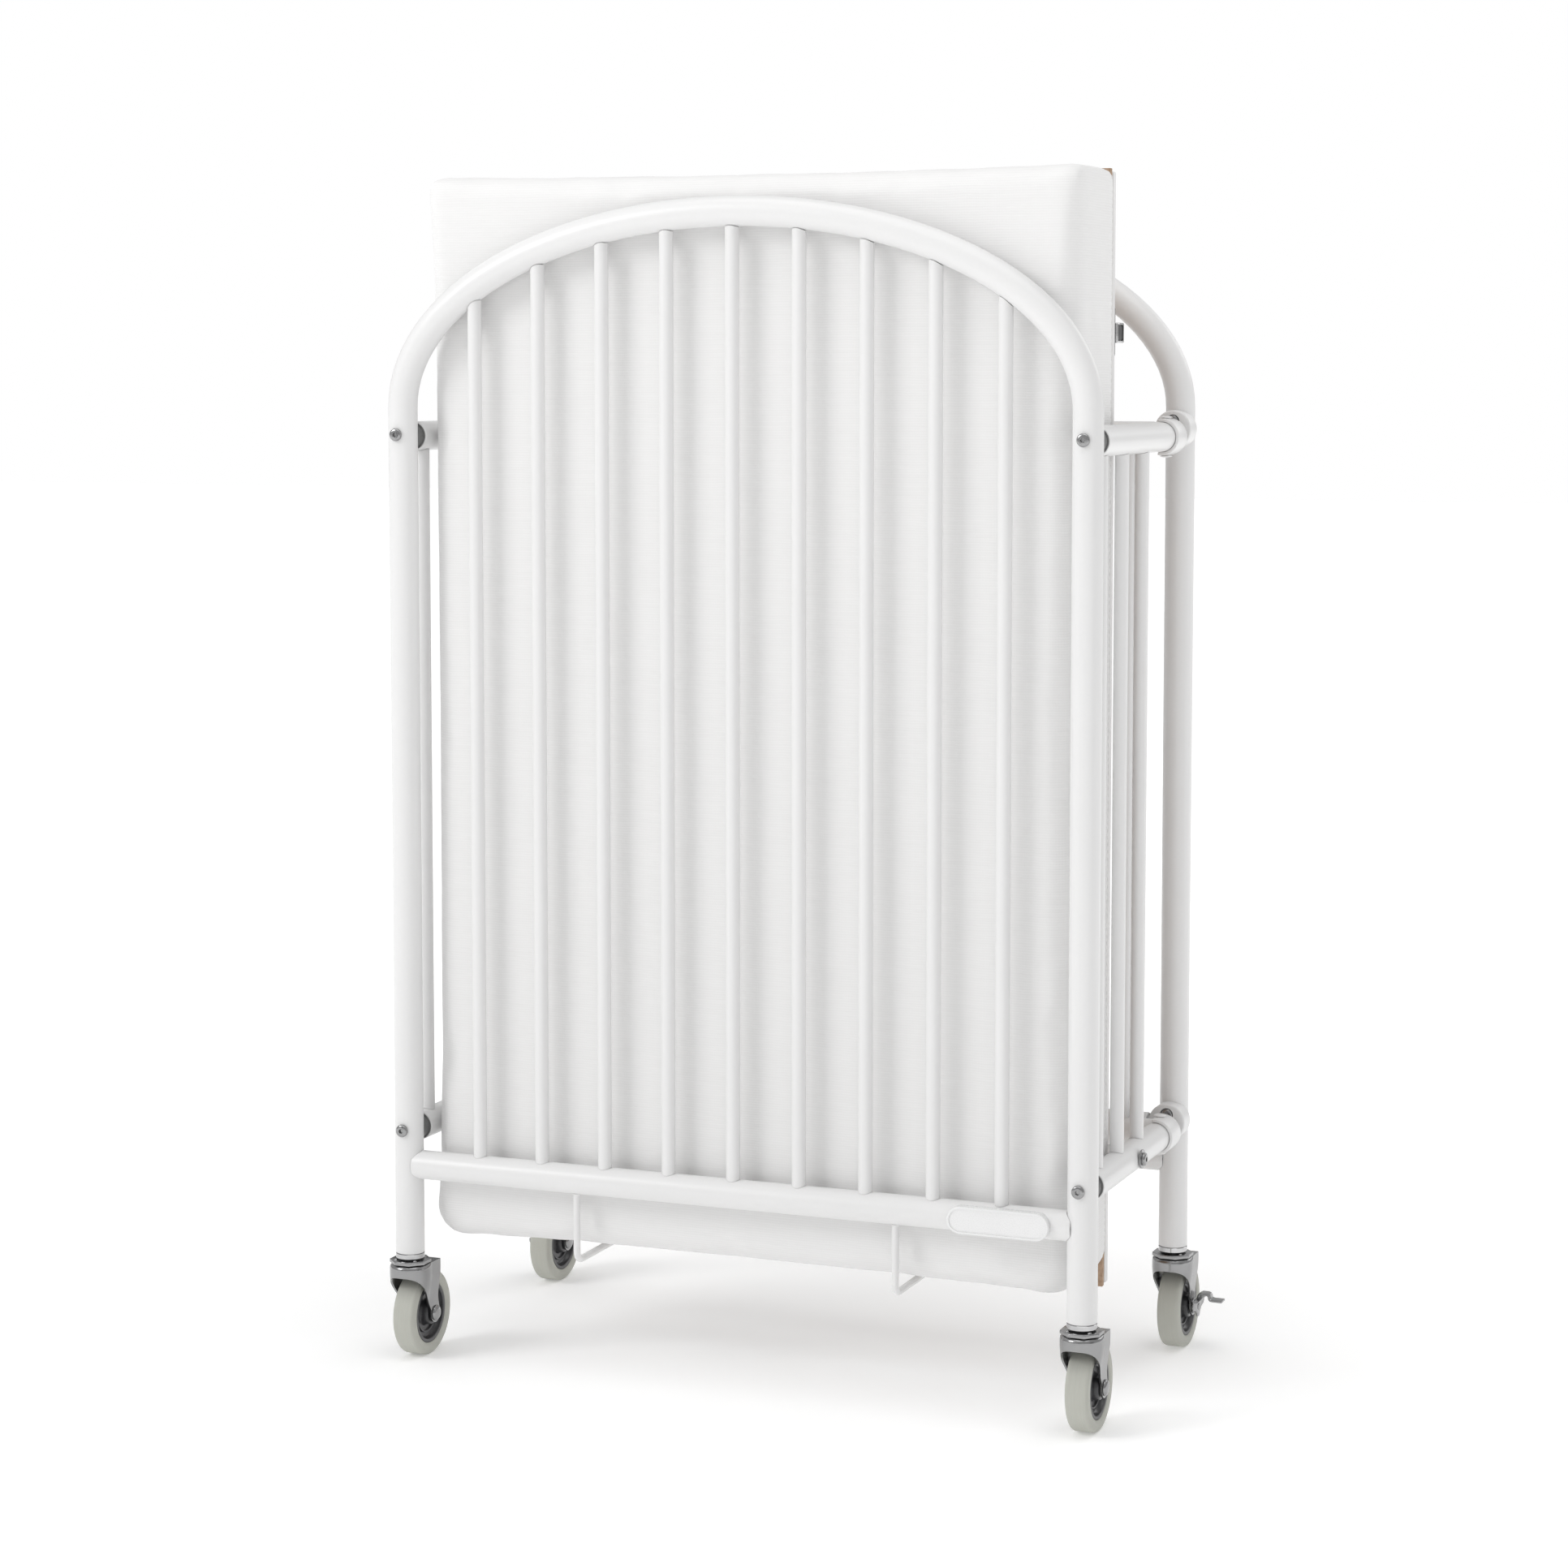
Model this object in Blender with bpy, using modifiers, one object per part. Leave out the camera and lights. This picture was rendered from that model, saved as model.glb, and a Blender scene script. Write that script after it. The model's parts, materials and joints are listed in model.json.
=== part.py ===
# A folding steel cot on four swivel casters, folded up with its mattress stored upright inside.
# Sizes are in millimetres and become metres where a mesh is made. X runs across the cot,
# Y runs from the front end back to the rear end, Z is up and the floor is at Z = 0.

import math

import bmesh
import bpy
from mathutils import Matrix, Vector

MM = 0.001
GAP = 0.3                      # clearance between two pieces that touch

# Driving sizes
TUBE_R = 12.7                  # one-inch tube
SLAT_R = 6.0
LEG_X = 310.0                  # legs' axes from the middle
DEPTH = 275.0                  # front legs to rear legs, folded
LEG_FOOT = 96.4
SPRING_Z = 842.0               # where the straight leg becomes the arch
ARCH_RISE = 164.3
SILL_Z = 175.7                 # lower rail of each end
UPPER_Z = 817.0                # rails of the folding sides
LOWER_Z = 206.0
SLAT_PITCH = 60.0

# Folding sides: two equal sections on each side, joined in the middle
SECTION = 368.0                # hinge to hinge
LAYER = 26.0                   # one folded section to the next
RIGHT_HINGE = 229.5            # behind the front legs
LEFT_HINGE = 150.0
FIRST_SLAT = 34.0
SECTION_SLATS = 6
RAIL_SIDES = 12
PIN_SIDES = 8
PIN_R = 4.0
REAR_PIN_R = 3.0
LUG_R = 6.0
LEAF_REACH = 46.0              # along the rail from the mid pin
LEAF_HALF = 8.0
LEAF_THICK = 3.2
STRAP_THICK = 2.8
STRAP_REACH = math.radians(102)  # each way round the rail from straight outwards
WING_START = 18.5              # just behind the front legs
WING_GAP = TUBE_R + 0.6        # from a wing rail's end to the hinge's axis
BOSS_R = 16.5                  # rear knuckle

# What the front rail carries
WIRE_X = 147.0
WIRE_R = 3.0
WIRE_LOW = 103.5
WIRE_BACK = 102.0
BADGE_X = 241.7
BADGE_LONG = 88.0
BADGE_TALL = 23.0

# Casters
WHEEL_R = 37.5
TRAIL = 20.6
FRONT_Y = -(DEPTH / 2 + TRAIL)  # puts the middle of the whole cot at Y = 0
WHEEL_SIDES = 20
CASTER_SIDES = 12
FORK_TOP = 86.4
FORK_CAP_LOW = 77.0
ARM_INNER = 11.5
ARM_OUTER = 14.0
AXLE_R = 4.0

# Mattress and its board
BOARD_X = 296.0
BOARD_LOW = 96.0
BOARD_HIGH = 1041.5
FRAME_BAR = 25.0
FRAME_FACE = 119.8
FRAME_BACK = 127.0
PIVOT_BACK = 125.0
PIVOT_Z = 207.0

for old in list(bpy.data.objects):
    bpy.data.objects.remove(old, do_unlink=True)

cot = bpy.data.collections.new("folding_cot")
bpy.context.scene.collection.children.link(cot)


def material(name, colour, roughness, metallic=0.0):
    surface = bpy.data.materials.new(name)
    surface.use_nodes = True
    shader = surface.node_tree.nodes["Principled BSDF"]
    shader.inputs["Base Color"].default_value = (*colour, 1.0)
    shader.inputs["Roughness"].default_value = roughness
    shader.inputs["Metallic"].default_value = metallic
    return surface


WHITE_STEEL = ((0.86, 0.86, 0.85), 0.28, 0.0)
ZINC = ((0.42, 0.42, 0.41), 0.35, 1.0)
CHROME = ((0.62, 0.62, 0.62), 0.16, 1.0)
DARK_PLASTIC = ((0.07, 0.07, 0.075), 0.35, 0.0)
PLUG_GREY = ((0.20, 0.20, 0.20), 0.5, 0.0)
TYRE_GREY = ((0.58, 0.58, 0.54), 0.6, 0.0)
VINYL_WHITE = ((0.84, 0.84, 0.83), 0.7, 0.0)
BADGE_WHITE = ((0.88, 0.88, 0.88), 0.3, 0.0)
FIBREBOARD = ((0.34, 0.20, 0.10), 0.8, 0.0)


def place(x, back, z):
    """A point across, behind the front legs and up, in metres."""
    return Vector((x, FRONT_Y + back, z)) * MM


# Shapes, each as a mesh in metres

def mesh_from(bm):
    mesh = bpy.data.meshes.new("shape")
    bm.to_mesh(mesh)
    bm.free()
    return mesh


def bar(start, end, radius, sides=12, spin=0.0):
    """A round bar between two points, its corners turned by spin."""
    along = end - start
    turn = along.to_track_quat("Z", "Y").to_matrix().to_4x4() @ Matrix.Rotation(spin, 4, "Z")
    where = Matrix.Translation((start + end) / 2) @ turn
    bm = bmesh.new()
    bmesh.ops.create_cone(bm, cap_ends=True, segments=sides, radius1=radius * MM,
                          radius2=radius * MM, depth=along.length, matrix=where)
    return mesh_from(bm)


def box(low, high, bevel=0.0):
    bm = bmesh.new()
    size = high - low
    bmesh.ops.create_cube(bm, size=1.0, matrix=Matrix.Translation((low + high) / 2)
                          @ Matrix.Diagonal((*size, 1.0)))
    if bevel:
        bmesh.ops.bevel(bm, geom=bm.edges[:], offset=bevel * MM, segments=2, profile=0.5,
                        affect="EDGES")
    return mesh_from(bm)


def turned(profile, sides, matrix):
    """A profile of (radius, height) points, top to bottom, turned about the local Z axis."""
    bm = bmesh.new()
    corners = [bm.verts.new((r * MM, 0.0, h * MM)) for r, h in profile]
    for a, b in zip(corners, corners[1:]):
        bm.edges.new((a, b))
    if profile[0][0] > 0 and profile[-1][0] > 0:
        bm.edges.new((corners[-1], corners[0]))
    shape = bpy.data.objects.new("turned", mesh_from(bm))
    screw = shape.modifiers.new("turn", "SCREW")
    screw.steps = sides
    screw.render_steps = sides
    screw.use_merge_vertices = True
    screw.merge_threshold = 0.00001
    mesh = evaluated(shape)
    mesh.transform(matrix)
    return mesh


def plate(outline, low, high, matrix=Matrix.Identity(4)):
    """A flat outline of (x, y) points given thickness from low to high along the local Z axis."""
    curve = bpy.data.curves.new("plate", "CURVE")
    curve.dimensions = "2D"
    curve.fill_mode = "BOTH"
    curve.extrude = (high - low) / 2 * MM
    line = curve.splines.new("POLY")
    line.points.add(len(outline) - 1)
    for point, (x, y) in zip(line.points, outline):
        point.co = (x * MM, y * MM, 0.0, 1.0)
    line.use_cyclic_u = True
    mesh = evaluated(bpy.data.objects.new("plate", curve))
    mesh.transform(matrix @ Matrix.Translation((0, 0, (low + high) / 2 * MM)))
    return mesh


def tube_curve(name, points, radius, resolution):
    """A curve object along the points, round in section and closed at both ends."""
    curve = bpy.data.curves.new(name, "CURVE")
    curve.dimensions = "3D"
    curve.bevel_depth = radius * MM
    curve.bevel_resolution = resolution
    curve.use_fill_caps = True
    line = curve.splines.new("POLY")
    line.points.add(len(points) - 1)
    for point, where in zip(line.points, points):
        point.co = (*where, 1.0)
    return bpy.data.objects.new(name, curve)


def evaluated(shape, welded=True):
    """The object's finished mesh, with loose caps welded and its normals out."""
    bpy.context.scene.collection.objects.link(shape)
    graph = bpy.context.evaluated_depsgraph_get()
    mesh = bpy.data.meshes.new_from_object(shape.evaluated_get(graph))
    bpy.data.objects.remove(shape, do_unlink=True)
    if not welded:
        return mesh
    bm = bmesh.new()
    bm.from_mesh(mesh)
    bmesh.ops.remove_doubles(bm, verts=bm.verts[:], dist=0.000002)
    bmesh.ops.recalc_face_normals(bm, faces=bm.faces[:])
    bm.to_mesh(mesh)
    bm.free()
    return mesh


def group(meshes):
    """Several shapes that don't touch, as one mesh."""
    bm = bmesh.new()
    for mesh in meshes:
        bm.from_mesh(mesh)
    return mesh_from(bm)


def fused(first, joined=(), cut=()):
    """One body: the first shape with others joined to it and others cut out of it."""
    body = bpy.data.objects.new("body", first)
    tools = []
    for operation, meshes in (("UNION", joined), ("DIFFERENCE", cut)):
        for mesh in meshes:
            tool = bpy.data.objects.new("tool", mesh)
            bpy.context.scene.collection.objects.link(tool)
            step = body.modifiers.new(operation.lower(), "BOOLEAN")
            step.operation = operation
            step.solver = "EXACT"
            step.object = tool
            tools.append(tool)
    mesh = evaluated(body, welded=False)
    for tool in tools:
        bpy.data.objects.remove(tool, do_unlink=True)
    return mesh


# Objects

def axis_empty(name, where, parent=None):
    """An empty on a joint's axis, which the moving pieces hang from."""
    empty = bpy.data.objects.new(name, None)
    empty.empty_display_size = 0.03
    empty.location = where
    cot.objects.link(empty)
    hang(empty, parent)
    return empty


def hang(piece, parent):
    """Parents a piece to an unturned empty and leaves it where it is."""
    if parent is None:
        return
    piece.parent = parent
    piece.matrix_parent_inverse = Matrix.Translation(-parent.location)


def piece(name, shape, look, parent=None, smooth=True):
    """Names a mesh or a curve object, gives it its own material and hangs it on its body."""
    if isinstance(shape, bpy.types.Object):
        thing = shape
        thing.name = name
    else:
        thing = bpy.data.objects.new(name, shape)
        if smooth:
            shape.shade_smooth()
            shape.set_sharp_from_angle(angle=math.radians(35))
    thing.data.name = name
    thing.data.materials.clear()
    thing.data.materials.append(material(name + "_finish", *look))
    cot.objects.link(thing)
    hang(thing, parent)
    return thing


# The two arched ends

def arch_z(x):
    """Height of the arch's middle line above a place across the cot."""
    return SPRING_Z + ARCH_RISE * math.sqrt(max(0.0, 1 - (x / LEG_X) ** 2))


def hoop(name, back, parent=None, arc_steps=18):
    points = [place(-LEG_X, back, LEG_FOOT)]
    for i in range(arc_steps + 1):
        angle = math.pi * (1 - i / arc_steps)
        points.append(place(LEG_X * math.cos(angle), back,
                            SPRING_Z + ARCH_RISE * math.sin(angle)))
    points.append(place(LEG_X, back, LEG_FOOT))
    return piece(name, tube_curve(name, points, TUBE_R, 4), WHITE_STEEL, parent)


def slat_top(x):
    """Highest place for a slat's flat top under the arch."""
    outer = abs(x) + SLAT_R
    slope = math.atan((arch_z(outer - 0.5) - arch_z(outer + 0.5)))
    return arch_z(outer) - TUBE_R / math.cos(slope) - 1.6


def slat_panel(name, back, parent=None, slats_each_side=4):
    """The lower rail of one end with its upright slats welded in."""
    rail_end = LEG_X - TUBE_R - GAP
    rail = bar(place(-rail_end, back, SILL_Z), place(rail_end, back, SILL_Z), TUBE_R)
    slats = []
    for i in range(-slats_each_side, slats_each_side + 1):
        x = i * SLAT_PITCH
        slats.append(bar(place(x, back, SILL_Z), place(x, back, slat_top(x)), SLAT_R, 8))
    return piece(name, fused(rail, [group(slats)]), WHITE_STEEL, parent)


# Rails and slats of the folding sides

def rail_profile(length, round_end):
    """A rail from its hinge end (at height 0) down to its plain end."""
    if not round_end:
        return [(0.0, 0.0), (TUBE_R, 0.0), (TUBE_R, -length), (0.0, -length)]
    steps = 3
    dome = [(TUBE_R * math.sin(i * math.pi / 2 / steps), TUBE_R * math.cos(i * math.pi / 2 / steps))
            for i in range(steps + 1)]
    dome[0] = (0.0, TUBE_R)
    return dome + [(TUBE_R, -length), (0.0, -length)]


def along_x(x, back, z, side):
    """Turns the local Z axis to point outwards on the given side, +1 right or -1 left."""
    return Matrix.Translation(place(x, back, z)) @ Matrix.Rotation(side * math.pi / 2, 4, "Y")


def pin_hole(x, back, z_low, z_high, pin_r):
    """A cutter whose flats stay clear of a pin's corners."""
    radius = (pin_r + GAP) / math.cos(math.pi / PIN_SIDES)
    return bar(place(x, back, z_low), place(x, back, z_high), radius, PIN_SIDES)


def leaf(pivot, side, toward, z_low, z_high):
    """A hinge leaf from the mid pin onto its own section's rail, with the pin's hole."""
    px, pback = pivot
    middle = pback + toward * LAYER / 2
    arc = [(px - side * LEAF_HALF * math.cos(a), pback - toward * LEAF_HALF * math.sin(a))
           for a in [i * math.pi / 8 for i in range(-2, 8)]]
    far = px + side * LEAF_REACH
    rear = middle + toward * LEAF_HALF
    outline = arc + [(far, pback), (far, rear), (px + side * (LEAF_HALF - 1.0), rear)]
    shape = plate(outline, z_low, z_high, Matrix.Translation((0, FRONT_Y * MM, 0)))
    return fused(shape, cut=[pin_hole(px, pback, z_low - 3, z_high + 3, PIN_R)])


def section(name, side, hinge_back, mid_back, near, parent):
    """One half of a folding side: two rails, six slats and its leaves of the mid hinge."""
    hinge_x = side * LEG_X
    mid_x = side * (LEG_X - SECTION)
    rounded = near or side < 0
    rail_start = 0.0 if rounded else 18.0
    rail_stop = SECTION - 6.0
    rails = []
    for z in (UPPER_Z, LOWER_Z):
        where = along_x(hinge_x - side * rail_start, hinge_back, z, side)
        rails.append(turned(rail_profile(rail_stop - rail_start, rounded), RAIL_SIDES, where))
    slats = []
    for i in range(SECTION_SLATS):
        x = hinge_x - side * (FIRST_SLAT + i * SLAT_PITCH)
        slats.append(bar(place(x, hinge_back, LOWER_Z), place(x, hinge_back, UPPER_Z), SLAT_R, 8))
    toward = -1 if near else 1
    outer = 1 if near else -1
    leaves = []
    for z, way in ((UPPER_Z, outer), (LOWER_Z, -outer)):
        faces = sorted(z + way * (TUBE_R - 0.7 + t) for t in (0.0, LEAF_THICK))
        leaves.append(leaf((mid_x, mid_back), side, toward, *faces))
    lugs, holes = [], []
    for z in (UPPER_Z, LOWER_Z):
        holes.append(pin_hole(hinge_x, hinge_back, z - 20, z + 20, PIN_R if rounded else REAR_PIN_R))
        if not rounded:
            lugs.append(rear_lug(hinge_x, hinge_back, z, side))
    joined = [group(slats), rails[1], group(leaves)]
    if lugs:
        joined.append(group(lugs))
    return piece(name, fused(rails[0], joined, [group(holes)]), WHITE_STEEL, parent)


def rear_lug(x, back, z, side):
    """The flattened rail end that turns on the rear knuckle's pin."""
    arc = [(x + side * LUG_R * math.cos(a), back + LUG_R * math.sin(a))
           for a in [i * math.pi / 6 for i in range(-3, 4)]]
    inner = x - side * 26.0
    outline = arc + [(inner, back + LUG_R), (inner, back - LUG_R)]
    return plate(outline, z - 4.0, z + 4.0, Matrix.Translation((0, FRONT_Y * MM, 0)))


def wing(name, side, start, stop, slat_backs, parent=None):
    """The fixed lengths of side rail that stand out from one end, with their slats."""
    x = side * LEG_X
    rails = [bar(place(x, start, z), place(x, stop, z), TUBE_R) for z in (UPPER_Z, LOWER_Z)]
    slats = [bar(place(x, back, LOWER_Z), place(x, back, UPPER_Z), SLAT_R, 8) for back in slat_backs]
    return piece(name, fused(rails[0], [group(slats), rails[1]]), WHITE_STEEL, parent)


def strap(name, side, hinge_back, z, parent=None):
    """A C-shaped knuckle round the outside of a hinge, with the riveted pin through it."""
    steps = 10
    angles = [STRAP_REACH * (2 * i / steps - 1) for i in range(steps + 1)]
    inner = (TUBE_R + GAP) / math.cos(STRAP_REACH / steps)
    outer = inner + STRAP_THICK
    rim = [(side * outer * math.cos(a), outer * math.sin(a)) for a in angles]
    bore = [(side * inner * math.cos(a), inner * math.sin(a)) for a in reversed(angles)]
    upright = (Matrix.Translation(place(side * LEG_X, hinge_back, z))
               @ Matrix.Rotation(math.pi / 2, 4, "X"))
    band = plate(rim + bore, -11.5, 16.0, upright)
    centre = side * LEG_X
    pin = bar(place(centre, hinge_back, z - 18.0), place(centre, hinge_back, z + 18.0), PIN_R, PIN_SIDES)
    return piece(name, fused(band, [pin]), WHITE_STEEL, parent)


def rear_knuckle(name, z, parent):
    """The boss on the rear leg, slotted for the section's lug, with its pin and bolt recess."""
    back = RIGHT_HINGE + LAYER
    face, foot = back - 5.8, DEPTH - TUBE_R - GAP
    boss = bar(place(LEG_X, face, z + 6.0), place(LEG_X, foot, z + 6.0), BOSS_R, 16)
    slot = box(place(LEG_X - 20, face - 2, z - 4.6), place(LEG_X + 7.0, foot + 2, z + 4.6))
    recess = bar(place(LEG_X, face - 2, z + 13.0), place(LEG_X, face + 3.0, z + 13.0), 5.9, 12)
    pin = bar(place(LEG_X, back, z - 7.5), place(LEG_X, back, z + 7.5), REAR_PIN_R, PIN_SIDES)
    return piece(name, fused(fused(boss, cut=[slot, recess]), [pin]), WHITE_STEEL, parent)


def button_bolt(name, x, z):
    """A button-head bolt on the front of a leg."""
    face = -TUBE_R - GAP
    profile = [(0.0, 3.2), (2.6, 3.0), (4.4, 2.0), (5.5, 0.0), (0.0, 0.0)]
    where = Matrix.Translation(place(x, face, z)) @ Matrix.Rotation(math.pi / 2, 4, "X")
    return piece(name, turned(profile, 12, where), ZINC)


def rail_plug(name, side, z):
    """The grey plug in a wing rail's end, where it meets the back of the leg."""
    x = side * LEG_X
    plug = bar(place(x, TUBE_R + GAP, z), place(x, 18.2, z), 10.8, 16)
    return piece(name, plug, PLUG_GREY)


def pivot_bolt(name, side):
    """The board's pivot bolt with its washer, on the outside of a lower wing rail."""
    where = along_x(side * (LEG_X + TUBE_R + GAP), PIVOT_BACK, PIVOT_Z, side)
    profile = [(0.0, 4.6), (2.6, 4.3), (4.4, 3.3), (5.5, 1.4), (6.5, 1.4), (6.5, 0.0), (0.0, 0.0)]
    return piece(name, turned(profile, 12, where), ZINC)


def cradle_wire(name, x):
    """A wire hook under the front rail, which the stored mattress stands on."""
    bend, steps = 9.0, 4
    points = [place(x, 0.0, SILL_Z - TUBE_R - GAP)]
    for i in range(steps + 1):
        angle = math.pi / 2 * i / steps
        points.append(place(x, bend * (1 - math.cos(angle)), WIRE_LOW + bend * (1 - math.sin(angle))))
    points.append(place(x, WIRE_BACK, WIRE_LOW))
    return piece(name, tube_curve(name, points, WIRE_R, 2), WHITE_STEEL)


def capsule(long, tall, steps=8):
    """The outline of a slot with round ends."""
    half, r = (long - tall) / 2, tall / 2
    outline = []
    for centre, first in ((half, -math.pi / 2), (-half, math.pi / 2)):
        for i in range(steps + 1):
            angle = first + math.pi * i / steps
            outline.append((centre + r * math.cos(angle), r * math.sin(angle)))
    return outline


def badge():
    """A blank oval badge with a raised rim and a saddle-shaped back, on the front rail."""
    upright = (Matrix.Translation(place(BADGE_X, 0.0, SILL_Z))
               @ Matrix.Rotation(math.pi / 2, 4, "X"))
    body = plate(capsule(BADGE_LONG, BADGE_TALL), 8.0, 17.0, upright)
    field = plate(capsule(BADGE_LONG - 4.0, BADGE_TALL - 4.0), 16.2, 20.0, upright)
    hollow = bar(place(BADGE_X - 60, 0, SILL_Z), place(BADGE_X + 60, 0, SILL_Z), TUBE_R + GAP + 0.3, 32)
    return piece("badge", fused(body, cut=[field, hollow]), BADGE_WHITE)


# The mattress board with its mattress, tilting on the front end's lower wing rails

def platform(parent):
    board = box(place(-BOARD_X, 114.0, BOARD_LOW), place(BOARD_X, FRAME_FACE - GAP, BOARD_HIGH))
    piece("mattress_board", board, FIBREBOARD, parent, smooth=False)

    frame_x = BOARD_X - 2.0
    low, high = BOARD_LOW + 2.0, BOARD_HIGH - 2.5
    middle = (low + high) / 2
    windows = []
    for bottom, top in ((low + FRAME_BAR, middle - FRAME_BAR / 2),
                        (middle + FRAME_BAR / 2, high - FRAME_BAR)):
        windows.append(box(place(-frame_x + FRAME_BAR, FRAME_FACE - 3, bottom),
                           place(frame_x - FRAME_BAR, FRAME_BACK + 3, top)))
    outside = box(place(-frame_x, FRAME_FACE, low), place(frame_x, FRAME_BACK, high))
    frame = fused(outside, cut=[group(windows)])
    piece("board_frame", frame, WHITE_STEEL, parent, smooth=False)

    pad = box(place(-BOARD_X, 17.0, 107.0), place(BOARD_X, 113.7, 1040.0), bevel=10.0)
    piece("mattress", pad, VINYL_WHITE, parent)

    keeper = box(place(270.5, FRAME_BACK + GAP, 884.0), place(293.5, FRAME_BACK + 2.5, 929.0), 0.6)
    piece("latch_plate", keeper, ZINC, parent)
    slide = axis_empty("latch_slide", place(284.0, 139.0, 905.5), parent)
    bolt = box(place(272.0, FRAME_BACK + 2.9, 897.0), place(298.0, 150.0, 914.0), bevel=1.5)
    window = box(place(296.8, 133.0, 899.5), place(300.0, 144.5, 911.5), bevel=0.4)
    piece("latch_bolt", fused(bolt, cut=[window]), CHROME, slide)


# Casters

def caster_stem(name, x, back, parent):
    """The plated collar at the foot of the leg, its eight-sided plate and the king pin."""
    foot = LEG_FOOT - GAP
    collar = bar(place(x, back, 91.0), place(x, back, foot), TUBE_R, CASTER_SIDES)
    neck = bar(place(x, back, 88.0), place(x, back, 93.0), 9.5, 12)
    flange = bar(place(x, back, 87.0), place(x, back, 90.6), 18.2, 8, math.pi / 8)
    king_pin = bar(place(x, back, 73.5), place(x, back, 89.0), 5.0, 12)
    return piece(name, fused(collar, [neck, flange, king_pin]), CHROME, parent)


def fork_arm_outline():
    """One arm seen from the side, as (back from the king pin, height) points."""
    eye, steps = 8.5, 5
    outline = [(-13.0, 83.0), (-14.5, 79.0), (-9.0, 62.0)]
    for i in range(steps + 1):
        angle = math.radians(200 + 180 * i / steps)
        outline.append((TRAIL + eye * math.cos(angle), WHEEL_R + eye * math.sin(angle)))
    outline += [(21.0, 62.0), (16.5, 79.0), (13.0, 83.0)]
    return outline


def caster_fork(name, x, back, parent):
    cap = turned([(0.0, FORK_TOP), (15.0, FORK_TOP), (18.3, FORK_TOP - 3.0), (18.3, FORK_CAP_LOW),
                  (0.0, FORK_CAP_LOW)], CASTER_SIDES, Matrix.Translation(place(x, back, 0)))
    side_view = Matrix(((0, 0, 1, 0), (1, 0, 0, 0), (0, 1, 0, 0), (0, 0, 0, 1)))
    arms = [plate(fork_arm_outline(), *span, Matrix.Translation(place(x, back, 0)) @ side_view)
            for span in ((ARM_INNER, ARM_OUTER), (-ARM_OUTER, -ARM_INNER))]
    bore = bar(place(x, back, 70), place(x, back, 90), 5.0 + GAP, 12)
    eye = bar(place(x - 20, back + TRAIL, WHEEL_R), place(x + 20, back + TRAIL, WHEEL_R),
              AXLE_R + GAP, 12)
    return piece(name, fused(cap, [group(arms)], [bore, eye]), ZINC, parent)


def caster_axle(name, x, back, parent):
    head = 6.8
    profile = [(0.0, 17.0), (head - 1.2, 17.0), (head, 16.2), (head, ARM_OUTER + GAP),
               (AXLE_R, ARM_OUTER + GAP)]
    profile += [(r, -h) for r, h in reversed(profile)]
    return piece(name, turned(profile, 12, along_x(x, back + TRAIL, WHEEL_R, 1)), ZINC, parent)


def ring(x, back, profile):
    return turned(profile, WHEEL_SIDES, along_x(x, back + TRAIL, WHEEL_R, 1)
                  @ Matrix.Rotation(math.pi / WHEEL_SIDES, 4, "Z"))


def caster_wheel(prefix, x, back, parent):
    bore, hub_r, rim_r = AXLE_R + GAP + 0.1, 10.5, 26.9
    hub = [(bore, 11.0), (hub_r, 11.0), (hub_r + 3.0, 5.0), (rim_r - 1.9, 9.2), (rim_r, 9.2)]
    hub += [(r, -h) for r, h in reversed(hub)]
    piece(prefix + "_hub", ring(x, back, hub), DARK_PLASTIC, parent)
    flat = WHEEL_R / math.cos(math.pi / WHEEL_SIDES)
    tyre = [(rim_r + GAP, 9.4), (32.5, 10.2), (flat, 5.5)]
    tyre += [(r, -h) for r, h in reversed(tyre)]
    piece(prefix + "_tyre", ring(x, back, tyre), TYRE_GREY, parent)


def brake_lever(name, side, back, parent):
    """The pedal beside a rear wheel, which turns on the axle's line."""
    x = side * LEG_X
    axle_back, inner, outer = back + TRAIL, 17.3, 19.4
    disc = bar(place(x + side * inner, axle_back, WHEEL_R),
               place(x + side * outer, axle_back, WHEEL_R), 9.2, 16)
    ends = sorted((x + side * inner, x + side * 42.0))
    tab = box(place(ends[0], axle_back - 7.0, 43.6), place(ends[1], axle_back + 7.0, 45.6))
    return piece(name, fused(disc, [tab]), ZINC, parent)


def caster(prefix, side, back, frame_body, braked):
    x = side * LEG_X
    caster_stem(prefix + "_stem", x, back, frame_body)
    swivel = axis_empty(prefix + "_swivel", place(x, back, 80), frame_body)
    caster_fork(prefix + "_fork", x, back, swivel)
    caster_axle(prefix + "_axle", x, back, swivel)
    roll = axis_empty(prefix + "_roll", place(x, back + TRAIL, WHEEL_R), swivel)
    caster_wheel(prefix, x, back, roll)
    if braked:
        press = axis_empty(prefix + "_press", place(x, back + TRAIL, WHEEL_R), swivel)
        brake_lever(prefix + "_brake_lever", side, back, press)


# The front end, which everything else hangs from

hoop("front_hoop", 0.0)
slat_panel("front_slat_panel", 0.0)
badge()
cradle_wire("left_cradle_wire", -WIRE_X)
cradle_wire("right_cradle_wire", WIRE_X)
wing("right_wing", 1, WING_START, RIGHT_HINGE - WING_GAP, (36.0, 96.0, 156.0))
wing("left_wing", -1, WING_START, LEFT_HINGE - WING_GAP, (36.0, 96.0))
for side, word, hinge in ((1, "right", RIGHT_HINGE), (-1, "left", LEFT_HINGE)):
    for z, level in ((UPPER_Z, "upper"), (LOWER_Z, "lower")):
        button_bolt(f"{word}_{level}_leg_bolt", side * LEG_X, z + 1.5)
        rail_plug(f"{word}_{level}_rail_plug", side, z)
        strap(f"{word}_{level}_front_knuckle", side, hinge, z)
    pivot_bolt(f"{word}_pivot_bolt", side)

# The folding sides and the rear end, each body on its hinge

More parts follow.
